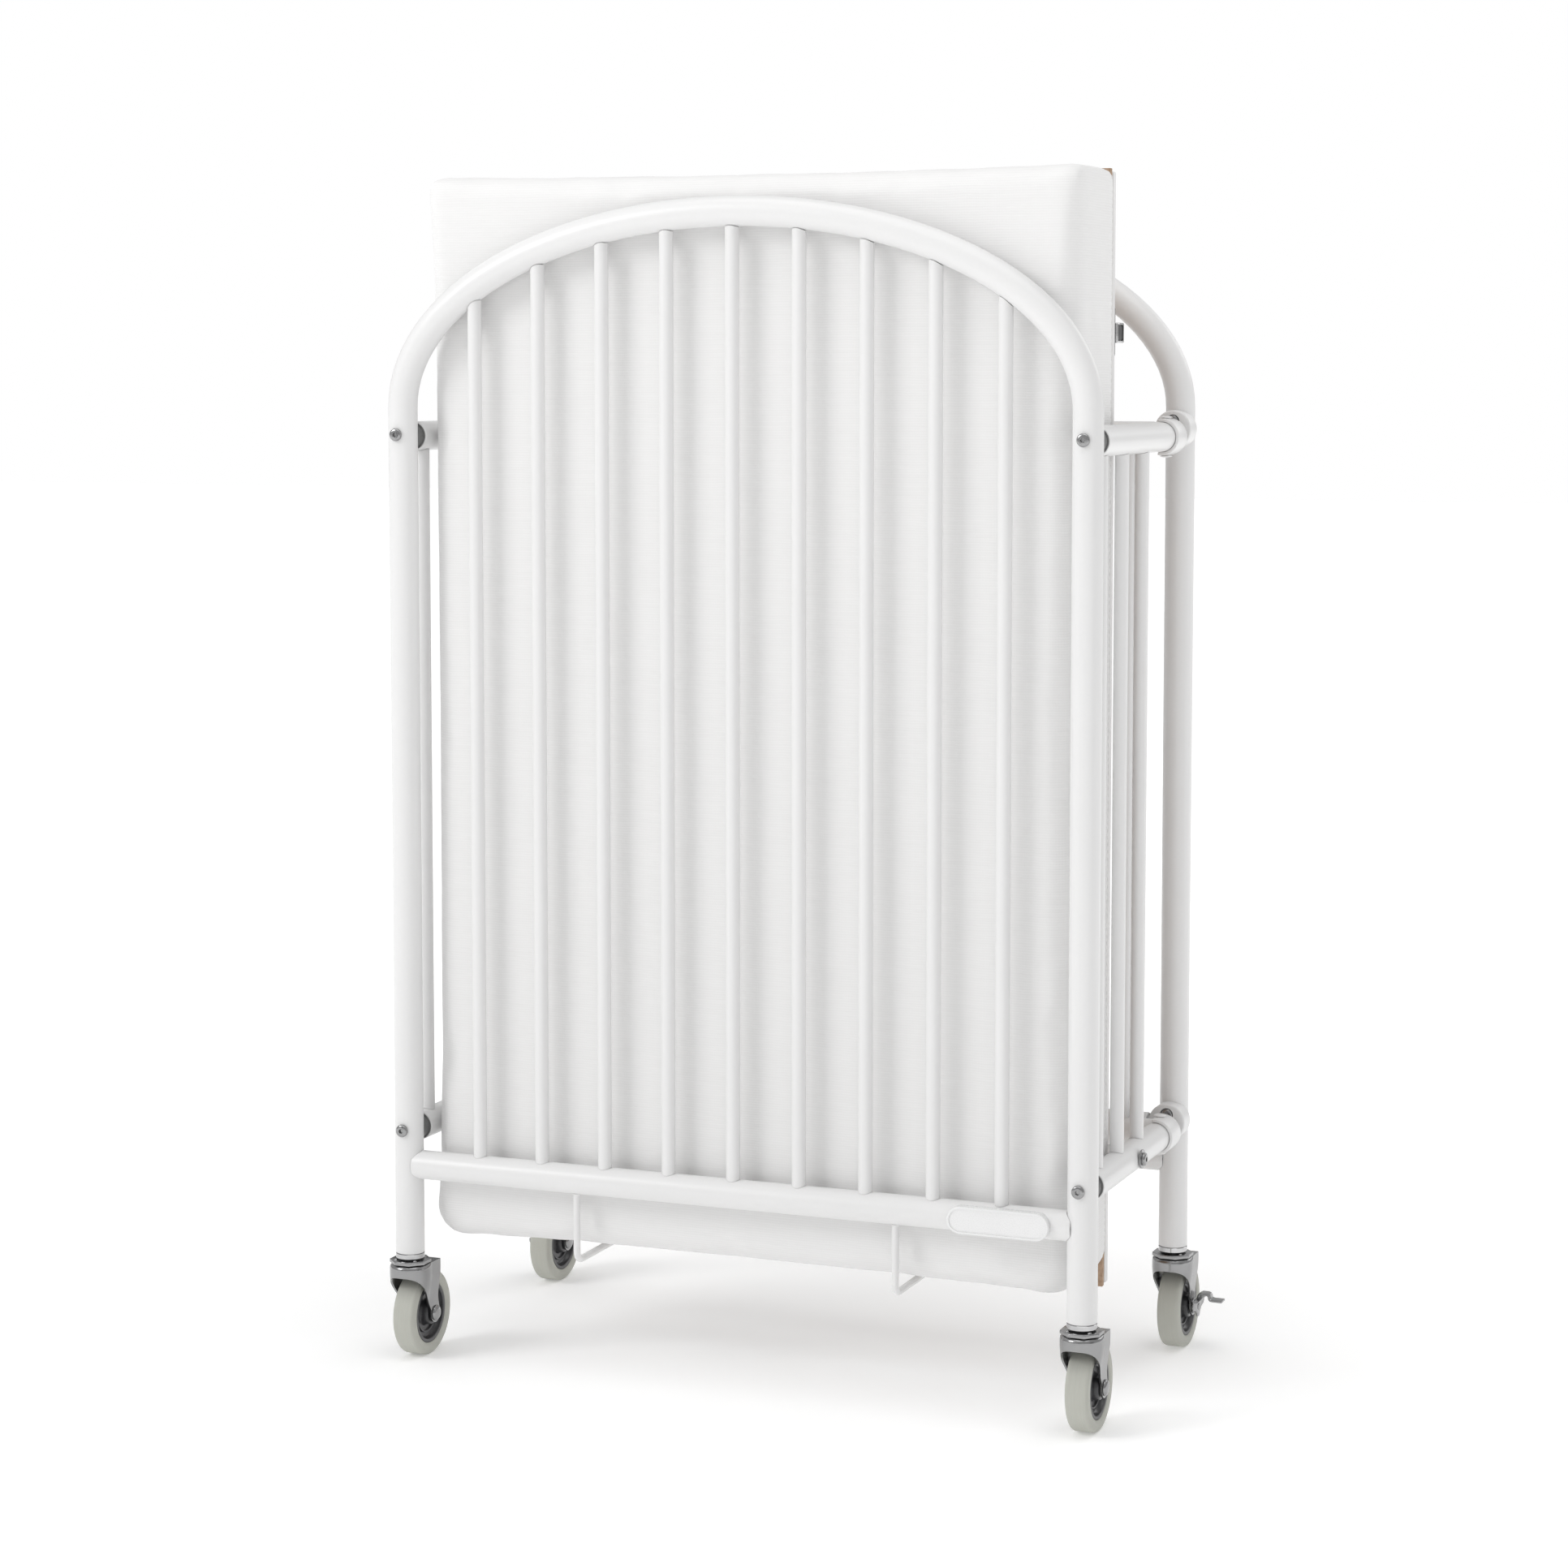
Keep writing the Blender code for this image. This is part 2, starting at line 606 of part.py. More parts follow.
right_mid = (LEG_X - SECTION, RIGHT_HINGE + LAYER / 2)
left_mid = (-LEG_X + SECTION, LEFT_HINGE + LAYER / 2)


def mid_rod(name, pivot, parent):
    """The long pin of a mid hinge, through all four leaves."""
    x, back = pivot
    low, high = LOWER_Z - TUBE_R - 4.0, UPPER_Z + TUBE_R + 3.0
    profile = [(0.0, high + 2.4), (5.2, high + 2.0), (6.0, high), (PIN_R, high), (PIN_R, low), (0.0, low)]
    return piece(name, turned(profile, 12, Matrix.Translation(place(x, back, 0))), ZINC, parent)


right_near_axis = axis_empty("right_near_hinge", place(LEG_X, RIGHT_HINGE, 500))
section("right_near_side", 1, RIGHT_HINGE, right_mid[1], True, right_near_axis)
mid_rod("right_mid_rod", right_mid, right_near_axis)
right_far_axis = axis_empty("right_mid_hinge", place(*right_mid, 500), right_near_axis)
section("right_far_side", 1, RIGHT_HINGE + LAYER, right_mid[1], False, right_far_axis)

left_near_axis = axis_empty("left_near_hinge", place(-LEG_X, LEFT_HINGE, 500))
section("left_near_side", -1, LEFT_HINGE, left_mid[1], True, left_near_axis)
mid_rod("left_mid_rod", left_mid, left_near_axis)
left_far_axis = axis_empty("left_mid_hinge", place(*left_mid, 500), left_near_axis)
section("left_far_side", -1, LEFT_HINGE + LAYER, left_mid[1], False, left_far_axis)

rear_axis = axis_empty("rear_hinge", place(LEG_X, RIGHT_HINGE + LAYER, 500), right_far_axis)
hoop("rear_hoop", DEPTH, rear_axis)
slat_panel("rear_slat_panel", DEPTH, rear_axis)
wing("rear_wing", -1, LEFT_HINGE + LAYER + WING_GAP, DEPTH - TUBE_R - GAP, (226.0,), rear_axis)
for z, level in ((UPPER_Z, "upper"), (LOWER_Z, "lower")):
    rear_knuckle(f"right_{level}_rear_knuckle", z, rear_axis)

board_axis = axis_empty("board_pivot", place(0, PIVOT_BACK, PIVOT_Z))
platform(board_axis)

caster("front_left", -1, 0.0, None, False)
caster("front_right", 1, 0.0, None, False)
caster("rear_left", -1, DEPTH, rear_axis, True)
caster("rear_right", 1, DEPTH, rear_axis, True)
bpy.context.view_layer.update()
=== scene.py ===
# A folding steel cot on four swivel casters, folded up with its mattress inside.
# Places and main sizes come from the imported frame's boxes and joints; small sizes are in each piece's
# own settings.

import json
import math

import bmesh
import bpy
import numpy as np
from mathutils import Matrix, Vector
from mathutils.bvhtree import BVHTree

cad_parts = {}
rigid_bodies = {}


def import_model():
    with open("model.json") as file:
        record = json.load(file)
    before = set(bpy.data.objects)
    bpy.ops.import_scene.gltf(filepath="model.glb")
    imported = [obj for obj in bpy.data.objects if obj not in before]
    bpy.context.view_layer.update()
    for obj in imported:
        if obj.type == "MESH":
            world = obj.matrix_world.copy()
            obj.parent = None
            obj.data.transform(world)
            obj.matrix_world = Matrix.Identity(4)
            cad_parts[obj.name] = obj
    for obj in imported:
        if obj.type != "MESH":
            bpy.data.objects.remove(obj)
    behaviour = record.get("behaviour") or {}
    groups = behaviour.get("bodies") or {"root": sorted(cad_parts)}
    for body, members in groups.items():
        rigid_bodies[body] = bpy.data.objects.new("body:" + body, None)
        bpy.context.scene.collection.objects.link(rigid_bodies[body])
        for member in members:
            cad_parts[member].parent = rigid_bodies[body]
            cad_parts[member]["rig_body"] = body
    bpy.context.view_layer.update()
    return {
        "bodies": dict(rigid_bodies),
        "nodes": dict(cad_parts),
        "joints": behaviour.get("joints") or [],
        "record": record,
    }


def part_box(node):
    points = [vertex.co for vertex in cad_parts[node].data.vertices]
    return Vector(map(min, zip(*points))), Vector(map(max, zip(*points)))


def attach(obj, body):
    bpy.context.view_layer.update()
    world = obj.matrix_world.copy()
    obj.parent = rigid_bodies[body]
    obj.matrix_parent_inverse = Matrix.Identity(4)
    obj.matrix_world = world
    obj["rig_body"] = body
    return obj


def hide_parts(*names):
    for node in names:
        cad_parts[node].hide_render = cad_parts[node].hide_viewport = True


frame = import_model()
scene = bpy.context.scene
mm = 0.001
nodes = frame["nodes"]
joints = {joint["name"]: Vector(joint["pos_m"]) for joint in frame["joints"] if "pos_m" in joint}

hoopLow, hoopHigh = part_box("front_hoop")
wingLow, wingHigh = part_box("right_wing")
tubeRadius = (hoopHigh.y - hoopLow.y) / 2
legX = hoopHigh.x - tubeRadius
frontY = (hoopLow.y + hoopHigh.y) / 2
rearY = (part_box("rear_hoop")[0].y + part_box("rear_hoop")[1].y) / 2
upperZ = wingHigh.z - tubeRadius
lowerZ = wingLow.z + tubeRadius
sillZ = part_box("rear_slat_panel")[0].z + tubeRadius
print("frame loaded:", len(nodes), "nodes")


# Node trees: one output of a tree, with the operators that the maths below uses

class Wire:
    def __init__(self, graph, socket):
        self.graph = graph
        self.socket = socket

    def __add__(self, other):
        return self.graph.maths("ADD", self, other)

    def __radd__(self, other):
        return self.graph.maths("ADD", other, self)

    def __sub__(self, other):
        return self.graph.maths("SUBTRACT", self, other)

    def __rsub__(self, other):
        return self.graph.maths("SUBTRACT", other, self)

    def __mul__(self, other):
        return self.graph.maths("MULTIPLY", self, other)

    def __rmul__(self, other):
        return self.graph.maths("MULTIPLY", other, self)

    def __truediv__(self, other):
        return self.graph.maths("DIVIDE", self, other)

    def __pow__(self, other):
        return self.graph.maths("POWER", self, other)

    def root(self):
        return self.graph.maths("SQRT", self)

    def most(self, other):
        return self.graph.maths("MAXIMUM", self, other)

    def least(self, other):
        return self.graph.maths("MINIMUM", self, other)


class Graph:
    def __init__(self, tree):
        self.tree = tree

    def add(self, kind, settings=None, inputs=None, output=0):
        node = self.tree.nodes.new(kind)
        for key, value in (settings or {}).items():
            if key == "stops":
                self.setStops(node.color_ramp, value)
            else:
                setattr(node, key, value)
        for key, value in (inputs or {}).items():
            if isinstance(value, Wire):
                self.tree.links.new(value.socket, node.inputs[key])
            else:
                node.inputs[key].default_value = value
        return Wire(self, node.outputs[output])

    def maths(self, operation, a, b=0.0):
        return self.add("ShaderNodeMath", {"operation": operation}, {0: a, 1: b})

    def setStops(self, ramp, stops):
        while len(ramp.elements) < len(stops):
            ramp.elements.new(0.5)
        for element, (position, shade) in zip(ramp.elements, stops):
            element.position = position
            element.color = (*shade, 1.0)

    def noise(self, where, scale, detail=3.0, roughness=0.5):
        return self.add("ShaderNodeTexNoise", None,
                        {"Vector": where, "Scale": scale, "Detail": detail, "Roughness": roughness})

    def streaks(self, where, stretch, detail, roughness=0.5):
        stretched = self.add("ShaderNodeMapping", None, {"Vector": where, "Scale": stretch})
        return self.noise(stretched, 1.0, detail, roughness)

    def ramp(self, factor, stops):
        return self.add("ShaderNodeValToRGB", {"stops": stops}, {"Fac": factor})

    def blendColour(self, factor, a, b):
        return self.add("ShaderNodeMix", {"data_type": "RGBA"}, {0: factor, 6: a, 7: b}, 2)

    def bump(self, height, distance, strength=1.0):
        return self.add("ShaderNodeBump", None,
                        {"Height": height, "Distance": distance, "Strength": strength})


def grey(value, warm=0.0):
    return (value + warm, value, value - warm, 1.0)


# Finishes: each one's constants sit on the shader, and what varies is linked to it

def makeFinish(name, constants, pattern):
    material = bpy.data.materials.new(name)
    material.use_nodes = True
    shader = material.node_tree.nodes["Principled BSDF"]
    for key, value in constants.items():
        shader.inputs[key].default_value = value
    graph = Graph(material.node_tree)
    where = graph.add("ShaderNodeTexCoord", None, None, "Object")
    for key, wire in pattern(graph, where).items():
        material.node_tree.links.new(wire.socket, shader.inputs[key])
    return material


coatLook = {
    "low": grey(0.755, 0.002),          # painted shade in the hollows of the orange peel, mixed with a random cloudy tone
    "high": grey(0.80, 0.003),
    "peelScale": 420.0,
    "peelDepth": 0.00006,
    "roughness": 0.36,
}


def powderCoat(graph, where):
    cloud = graph.noise(where, 9.0, 2.0)
    peel = graph.noise(where, coatLook["peelScale"], 2.0)
    speck = graph.noise(where, 1500.0, 1.0)
    # painted shade: the peel's hollows are coloured darker; the cloud adds random tone
    tone = cloud * 0.6 + peel * 0.4
    return {
        "Base Color": graph.blendColour(tone, coatLook["low"], coatLook["high"]),
        "Roughness": coatLook["roughness"] + (cloud - 0.5) * 0.10 + (speck - 0.5) * 0.05,
        "Normal": graph.bump(peel, coatLook["peelDepth"], 0.5),
    }


zincLook = {
    "dark": (0.29, 0.29, 0.295, 1.0),
    "light": (0.37, 0.37, 0.37, 1.0),
    "brushing": (1500.0, 1500.0, 90.0),
}


def zincPlate(graph, where):
    cloud = graph.noise(where, 70.0, 3.0)
    lines = graph.streaks(where, zincLook["brushing"], 2.0)
    tone = (cloud * 0.8 + lines * 0.3 - 0.05).most(0.0).least(1.0)
    return {
        "Base Color": graph.blendColour(tone, zincLook["dark"], zincLook["light"]),
        "Roughness": 0.20 + cloud * 0.08,
        "Normal": graph.bump(lines, 0.000012, 0.3),
    }


def brightChrome(graph, where):
    cloud = graph.noise(where, 80.0, 3.0)
    brushed = graph.streaks(where, (60.0, 60.0, 2600.0), 2.0)
    return {
        "Base Color": graph.ramp(cloud, [(0.25, (0.44, 0.44, 0.445)), (0.75, (0.58, 0.58, 0.58))]),
        "Roughness": 0.10 + cloud * 0.10,
        "Normal": graph.bump(brushed, 0.00001, 0.25),
    }


def plastic(stops, grain, gloss, texture, cloud=None):
    # grain and cloud are (scale, detail); the colour follows the cloud, or the grain without one
    def pattern(graph, where):
        fine = graph.noise(where, *grain)
        tone = graph.noise(where, *cloud) if cloud else fine
        return {
            "Base Color": graph.ramp(tone, stops),
            "Roughness": gloss[0] + fine * gloss[1],
            "Normal": graph.bump(fine, *texture),
        }
    return pattern


darkHubPlastic = plastic([(0.3, (0.030, 0.030, 0.033)), (0.8, (0.060, 0.060, 0.064))],
                         (900.0, 2.0), (0.22, 0.16), (0.00003, 0.3), (40.0, 3.0))
rimPlastic = plastic([(0.3, (0.085, 0.085, 0.088)), (0.8, (0.125, 0.125, 0.127))],
                     (900.0, 2.0), (0.34, 0.14), (0.00003, 0.3), (40.0, 3.0))
plugPlastic = plastic([(0.3, (0.13, 0.13, 0.13)), (0.7, (0.17, 0.17, 0.168))],
                      (700.0, 3.0), (0.40, 0.2), (0.00004, 0.4))
blackInsert = plastic([(0.2, (0.012, 0.012, 0.013)), (0.8, (0.028, 0.028, 0.03))],
                      (1500.0, 2.0), (0.30, 0.15), (0.00003, 0.4))
badgePlastic = plastic([(0.0, (0.79, 0.79, 0.79)), (1.0, (0.84, 0.84, 0.84))],
                       (1200.0, 2.0), (0.22, 0.12), (0.00002, 0.3), (20.0, 2.0))


tyreLook = {
    "clean": (0.50, 0.505, 0.455, 1.0),
    "worn": (0.40, 0.40, 0.36, 1.0),
}


def tyreRubber(graph, where):
    cloud = graph.noise(where, 30.0, 4.0)
    grain = graph.noise(where, 1400.0, 2.0)
    scuff = graph.streaks(where, (900.0, 60.0, 60.0), 3.0)
    wear = (cloud * 0.7 + scuff * 0.5 - 0.35).most(0.0).least(1.0)
    return {
        "Base Color": graph.blendColour(wear, tyreLook["clean"], tyreLook["worn"]),
        "Roughness": 0.50 + grain * 0.18,
        "Normal": graph.bump(grain * 0.6 + scuff * 0.4, 0.00005, 0.5),
    }


weaveLook = {
    "row": 2.1 * mm,                    # from one row of the weave to the next
    "end": 1.3 * mm,
    # the low colour is partly painted shade in the weave's grooves, partly the slub's random yarn tone
    "low": grey(0.775, 0.004),
    "high": grey(0.835, 0.004),
    "depth": 0.00022,
}


def mattressCover(graph, where):
    parts = graph.add("ShaderNodeSeparateXYZ", None, {"Vector": where})
    across = Wire(graph, parts.socket.node.outputs["X"])
    back = Wire(graph, parts.socket.node.outputs["Y"])
    up = Wire(graph, parts.socket.node.outputs["Z"])
    wobble = graph.noise(where, 45.0, 2.0) * 0.9
    rows = graph.maths("SINE", up * (math.tau / weaveLook["row"]) + wobble * 5.0)
    ends = graph.maths("SINE", (across + back) * (math.tau / weaveLook["end"]) + wobble * 4.0)
    slub = graph.streaks(where, (30.0, 30.0, 420.0), 3.0)
    fuzz = graph.noise(where, 1100.0, 2.0)
    height = rows * 0.24 + ends * 0.14 + slub * 0.35 + fuzz * 0.25
    # painted shade: the colour is darker where the weave's rows and ends dip; the slub adds random yarn tone
    tone = (0.5 + (rows * 0.16 + ends * 0.07) + (slub - 0.5) * 0.5).most(0.0).least(1.0)
    return {
        "Base Color": graph.blendColour(tone, weaveLook["low"], weaveLook["high"]),
        "Roughness": 0.62 + fuzz * 0.2,
        "Normal": graph.bump(height, weaveLook["depth"], 0.55),
    }


def fibreBoard(graph, where):
    flakes = graph.add("ShaderNodeTexVoronoi", {"feature": "F1"},
                       {"Vector": graph.add("ShaderNodeMapping", None,
                                            {"Vector": where, "Scale": (260.0, 900.0, 130.0)}),
                        "Scale": 1.0}, "Distance")
    fibre = graph.streaks(where, (90.0, 700.0, 400.0), 4.0, 0.65)
    tone = (flakes * 0.5 + fibre * 0.7 - 0.15).most(0.0).least(1.0)
    return {
        "Base Color": graph.ramp(tone, [(0.15, (0.27, 0.175, 0.11)), (0.5, (0.42, 0.29, 0.20)),
                                        (0.85, (0.55, 0.42, 0.31))]),
        "Roughness": 0.72 + fibre * 0.2,
        "Normal": graph.bump(tone, 0.0003, 0.6),
    }


# the slots that many pieces share
white, zinc, chrome = "white_powder_coat", "zinc_plate", "bright_chrome"
cover, darkPlastic, plugGrey = "mattress_cover", "dark_hub_plastic", "grey_plug_plastic"

finishes = {
    white: makeFinish("powderCoat", {"Coat Weight": 0.15, "Coat Roughness": 0.15}, powderCoat),
    zinc: makeFinish("zincPlate", {"Metallic": 1.0}, zincPlate),
    chrome: makeFinish("brightChrome", {"Metallic": 1.0}, brightChrome),
    darkPlastic: makeFinish("darkHubPlastic", {"Coat Weight": 0.2}, darkHubPlastic),
    plugGrey: makeFinish("plugPlastic", {}, plugPlastic),
    "grey_tyre": makeFinish("tyreRubber", {}, tyreRubber),
    cover: makeFinish("mattressCover", {"Sheen Weight": 0.15, "Sheen Roughness": 0.4},
                                 mattressCover),
    "badge_plastic": makeFinish("badgePlastic", {"Coat Weight": 0.4}, badgePlastic),
    "fibreboard": makeFinish("fibreBoard", {}, fibreBoard),
}
rimFinish = makeFinish("hubRimPlastic", {}, rimPlastic)
insertFinish = makeFinish("latchInsertPlastic", {}, blackInsert)
print("finishes made:", len(finishes) + 2)


# Shapes: each one is a mesh in metres, in the frame's place

def meshFrom(bm):
    mesh = bpy.data.meshes.new("shape")
    bm.to_mesh(mesh)
    bm.free()
    return mesh


def meshOf(points, faces):
    mesh = bpy.data.meshes.new("shape")
    mesh.from_pydata([tuple(point) for point in points], [], faces)
    bm = bmesh.new()
    bm.from_mesh(mesh)
    bpy.data.meshes.remove(mesh)
    bmesh.ops.remove_doubles(bm, verts=bm.verts[:], dist=0.000002)
    bmesh.ops.recalc_face_normals(bm, faces=bm.faces[:])
    return meshFrom(bm)


def together(meshes):
    bm = bmesh.new()
    for mesh in meshes:
        bm.from_mesh(mesh)
    return meshFrom(bm)


def ringFaces(rings, count, closed=False, base=0):
    # four-sided faces between rings of points, each ring closed on itself
    faces = []
    for r in range(rings if closed else rings - 1):
        here, there = base + r * count, base + (r + 1) % rings * count
        for i in range(count):
            k = (i + 1) % count
            faces.append((here + i, here + k, there + k, there + i))
    return faces


def ringed(rings):
    # rings of points joined in order, the first and last of them closed by a flat face
    count = len(rings[0])
    last = (len(rings) - 1) * count
    ends = [tuple(reversed(range(count))), tuple(last + i for i in range(count))]
    return meshOf([point for ring in rings for point in ring], ringFaces(len(rings), count) + ends)


def mirrored(half):
    # a profile of (radius, height) completed by its own reflection
    return half + [(radius, -height) for radius, height in reversed(half)]


def inMm(*numbers):
    return tuple(number * mm for number in numbers)


def swept(points, radii, across, sides=32):
    # a tube along a flat path, whose plane's normal is across
    across = Vector(across)
    rings = []
    for i, point in enumerate(points):
        ahead = points[min(i + 1, len(points) - 1)] - points[max(i - 1, 0)]
        normal = across.cross(ahead.normalized())
        ring = []
        for k in range(sides):
            angle = math.tau * k / sides
            ring.append(point + radii[i] * (math.cos(angle) * normal + math.sin(angle) * across))
        rings.append(ring)
    return ringed(rings)


def turned(profile, place, sides=48):
    # a closed profile of (radius, height) in metres about the local Z axis
    rings = []
    for radius, height in profile:
        rings.append([place @ Vector((radius * math.cos(math.tau * k / sides),
                                      radius * math.sin(math.tau * k / sides), height))
                      for k in range(sides)])
    if profile[0] != profile[-1] or not profile[0][0]:
        return ringed(rings)
    count = len(rings) - 1              # the profile is closed, so its last ring is its first
    return meshOf([point for ring in rings[:-1] for point in ring], ringFaces(count, sides, True))


def arcPoints(centre, radius, first, last, steps):
    return [(centre[0] + radius * math.cos(math.radians(first + (last - first) * i / steps)),
             centre[1] + radius * math.sin(math.radians(first + (last - first) * i / steps)))
            for i in range(steps + 1)]


def roundedOutline(low, high, radii, steps=6):
    # a rectangle's corners rounded in turn from the lower left, anticlockwise
    corners = [(low, radii[0], 180), ((high[0], low[1]), radii[1], 270),
               (high, radii[2], 0), ((low[0], high[1]), radii[3], 90)]
    outline = []
    for (x, y), radius, first in corners:
        centre = (x + math.copysign(radius, (low[0] + high[0]) / 2 - x),
                  y + math.copysign(radius, (low[1] + high[1]) / 2 - y))
        outline += arcPoints(centre, radius, first, first + 90, steps)
    return outline


def plate(outline, low, high, place=Matrix.Identity(4), edge=0.0, segments=3):
    # a flat outline given thickness along the local Z axis, its two rims rounded
    bm = bmesh.new()
    base = bm.faces.new([bm.verts.new((x, y, low)) for x, y in outline])
    lifted = bmesh.ops.extrude_face_region(bm, geom=[base])
    tops = [item for item in lifted["geom"] if isinstance(item, bmesh.types.BMVert)]
    bmesh.ops.translate(bm, verts=tops, vec=(0, 0, high - low))
    bmesh.ops.remove_doubles(bm, verts=bm.verts[:], dist=0.000002)
    bmesh.ops.recalc_face_normals(bm, faces=bm.faces[:])
    if edge:
        rims = [e for e in bm.edges if abs(e.verts[0].co.z - e.verts[1].co.z) < 1e-7]
        bmesh.ops.bevel(bm, geom=rims, offset=edge, segments=segments, profile=0.5, affect="EDGES",
                        clamp_overlap=True)
    mesh = meshFrom(bm)
    mesh.transform(place)
    return mesh


def block(low, high, edge=0.0, segments=3):
    bm = bmesh.new()
    size = high - low
    bmesh.ops.create_cube(bm, size=1.0, matrix=Matrix.Translation((low + high) / 2)
                          @ Matrix.Diagonal((*size, 1.0)))
    if edge:
        bmesh.ops.bevel(bm, geom=bm.edges[:], offset=edge, segments=segments, profile=0.5, affect="EDGES")
    return meshFrom(bm)


def shaped(mesh, *steps):
    # the mesh after modifiers, each given as (type, settings)
    thing = bpy.data.objects.new("shaped", mesh)
    scene.collection.objects.link(thing)
    for kind, settings in steps:
        modifier = thing.modifiers.new(kind.lower(), kind)
        for key, value in settings.items():
            setattr(modifier, key, value)
    graph = bpy.context.evaluated_depsgraph_get()
    result = bpy.data.meshes.new_from_object(thing.evaluated_get(graph))
    bpy.data.objects.remove(thing, do_unlink=True)
    return result


def cutOut(mesh, *cutters, operation="DIFFERENCE"):
    tools = []
    for cutter in cutters:
        tool = bpy.data.objects.new("tool", cutter)
        scene.collection.objects.link(tool)
        tools.append(tool)
    result = shaped(mesh, *[("BOOLEAN", {"operation": operation, "solver": "EXACT", "object": tool})
                            for tool in tools])
    for tool in tools:
        bpy.data.objects.remove(tool, do_unlink=True)
    return result


def piece(name, mesh, slot, standsFor, body=None, finish=None, sharp=38):
    # names a finished mesh, gives it its finish and lets it ride with its body
    thing = bpy.data.objects.new(name, mesh)
    scene.collection.objects.link(thing)
    mesh.name = name
    mesh.materials.clear()
    mesh.materials.append(finish or finishes[slot])
    mesh.shade_smooth()
    if sharp:
        mesh.set_sharp_from_angle(angle=math.radians(sharp))
    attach(thing, body or nodes[standsFor[0]]["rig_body"])
    if body is None or standsFor:
        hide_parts(*standsFor)
    return thing


def facing(x, y, z, direction):
    # a place whose local Z axis points the given way
    return Matrix.Translation((x, y, z)) @ Vector(direction).to_track_quat("Z", "Y").to_matrix().to_4x4()


# Geometry Nodes: trees for what repeats

def newTree(name, inputs):
    tree = bpy.data.node_groups.new(name, "GeometryNodeTree")
    tree.interface.new_socket("Geometry", in_out="INPUT", socket_type="NodeSocketGeometry")
    for label, kind, value in inputs:
        socket = tree.interface.new_socket(label, in_out="INPUT", socket_type=kind)
        if value is not None:
            socket.default_value = value
    tree.interface.new_socket("Geometry", in_out="OUTPUT", socket_type="NodeSocketGeometry")
    graph = Graph(tree)
    source = tree.nodes.new("NodeGroupInput")
    wires = {socket.name: Wire(graph, socket) for socket in source.outputs if socket.name}
    return tree, graph, wires


def endTree(graph, geometry, material):
    real = graph.add("GeometryNodeRealizeInstances", None, {"Geometry": geometry})
    painted = graph.add("GeometryNodeSetMaterial", None, {"Geometry": real, "Material": material})
    target = graph.tree.nodes.new("NodeGroupOutput")
    graph.tree.links.new(painted.socket, target.inputs[0])


def grown(tree, values, base=None):
    # runs a tree on a mesh, or on nothing, and returns the plain mesh that it makes
    thing = bpy.data.objects.new("grown", base or bpy.data.meshes.new("empty"))
    scene.collection.objects.link(thing)
    modifier = thing.modifiers.new("nodes", "NODES")
    modifier.node_group = tree
    sockets = {item.name: item.identifier for item in tree.interface.items_tree
               if item.item_type == "SOCKET" and item.in_out == "INPUT"}
    for label, value in values.items():
        modifier[sockets[label]] = value
    graph = bpy.context.evaluated_depsgraph_get()
    mesh = bpy.data.meshes.new_from_object(thing.evaluated_get(graph))
    thing.modifiers.clear()
    bpy.data.objects.remove(thing, do_unlink=True)
    return mesh


def makeSlatTree():
    # a row of upright slats along X between two tubes, their ends cut to fit round the tubes
    tree, graph, wires = newTree("slatRow", [
        ("Slats", "NodeSocketInt", 9), ("First", "NodeSocketFloat", 0.0),
        ("Pitch", "NodeSocketFloat", 0.06), ("Radius", "NodeSocketFloat", 0.006),
        ("Low", "NodeSocketFloat", 0.0), ("High", "NodeSocketFloat", 1.0),
        ("Tube radius", "NodeSocketFloat", 0.0127), ("Arch rise", "NodeSocketFloat", 0.0),
        ("Arch half width", "NodeSocketFloat", 1.0), ("Low gap", "NodeSocketFloat", 0.0003),
        ("High gap", "NodeSocketFloat", 0.0003), ("Finish", "NodeSocketMaterial", None)])
    start = graph.add("ShaderNodeCombineXYZ", None, {"X": wires["First"]})
    step = graph.add("ShaderNodeCombineXYZ", None, {"X": wires["Pitch"]})
    row = graph.add("GeometryNodeMeshLine", {"mode": "OFFSET"},
                    {"Count": wires["Slats"], "Start Location": start, "Offset": step})
    rod = graph.add("GeometryNodeMeshCylinder", {"fill_type": "NGON"},
                    {"Vertices": 20, "Side Segments": 12, "Fill Segments": 1,
                     "Radius": wires["Radius"], "Depth": 1.0})
    slats = graph.add("GeometryNodeInstanceOnPoints", None, {"Points": row, "Instance": rod})
    real = graph.add("GeometryNodeRealizeInstances", None, {"Geometry": slats})
    spot = graph.add("ShaderNodeSeparateXYZ", None, {0: graph.add("GeometryNodeInputPosition")})
    x, y, z = (Wire(graph, out) for out in spot.socket.node.outputs)
    toEnd = 1.0 - graph.maths("ABSOLUTE", z * 2.0)
    signed = graph.maths("SIGN", z)
    share = 0.5 + signed * (0.5 - 0.5 * toEnd ** 4.0)          # rings crowd towards both ends
    chord = (wires["Tube radius"] * wires["Tube radius"] - y * y).most(0.0).root()
    bend = x / wires["Arch half width"]
    lift = (1.0 - bend * bend).most(0.0001).root()
    slope = wires["Arch rise"] / wires["Arch half width"] * bend / lift
    lean = (1.0 + slope * slope).root()
    bottom = wires["Low"] + chord + wires["Low gap"]
    top = wires["High"] + wires["Arch rise"] * lift - chord * lean - wires["High gap"]
    height = bottom + (top - bottom) * share
    place = graph.add("ShaderNodeCombineXYZ", None, {"X": x, "Y": y, "Z": height})
    cut = graph.add("GeometryNodeSetPosition", None, {"Geometry": real, "Position": place})
    endTree(graph, cut, wires["Finish"])
    return tree


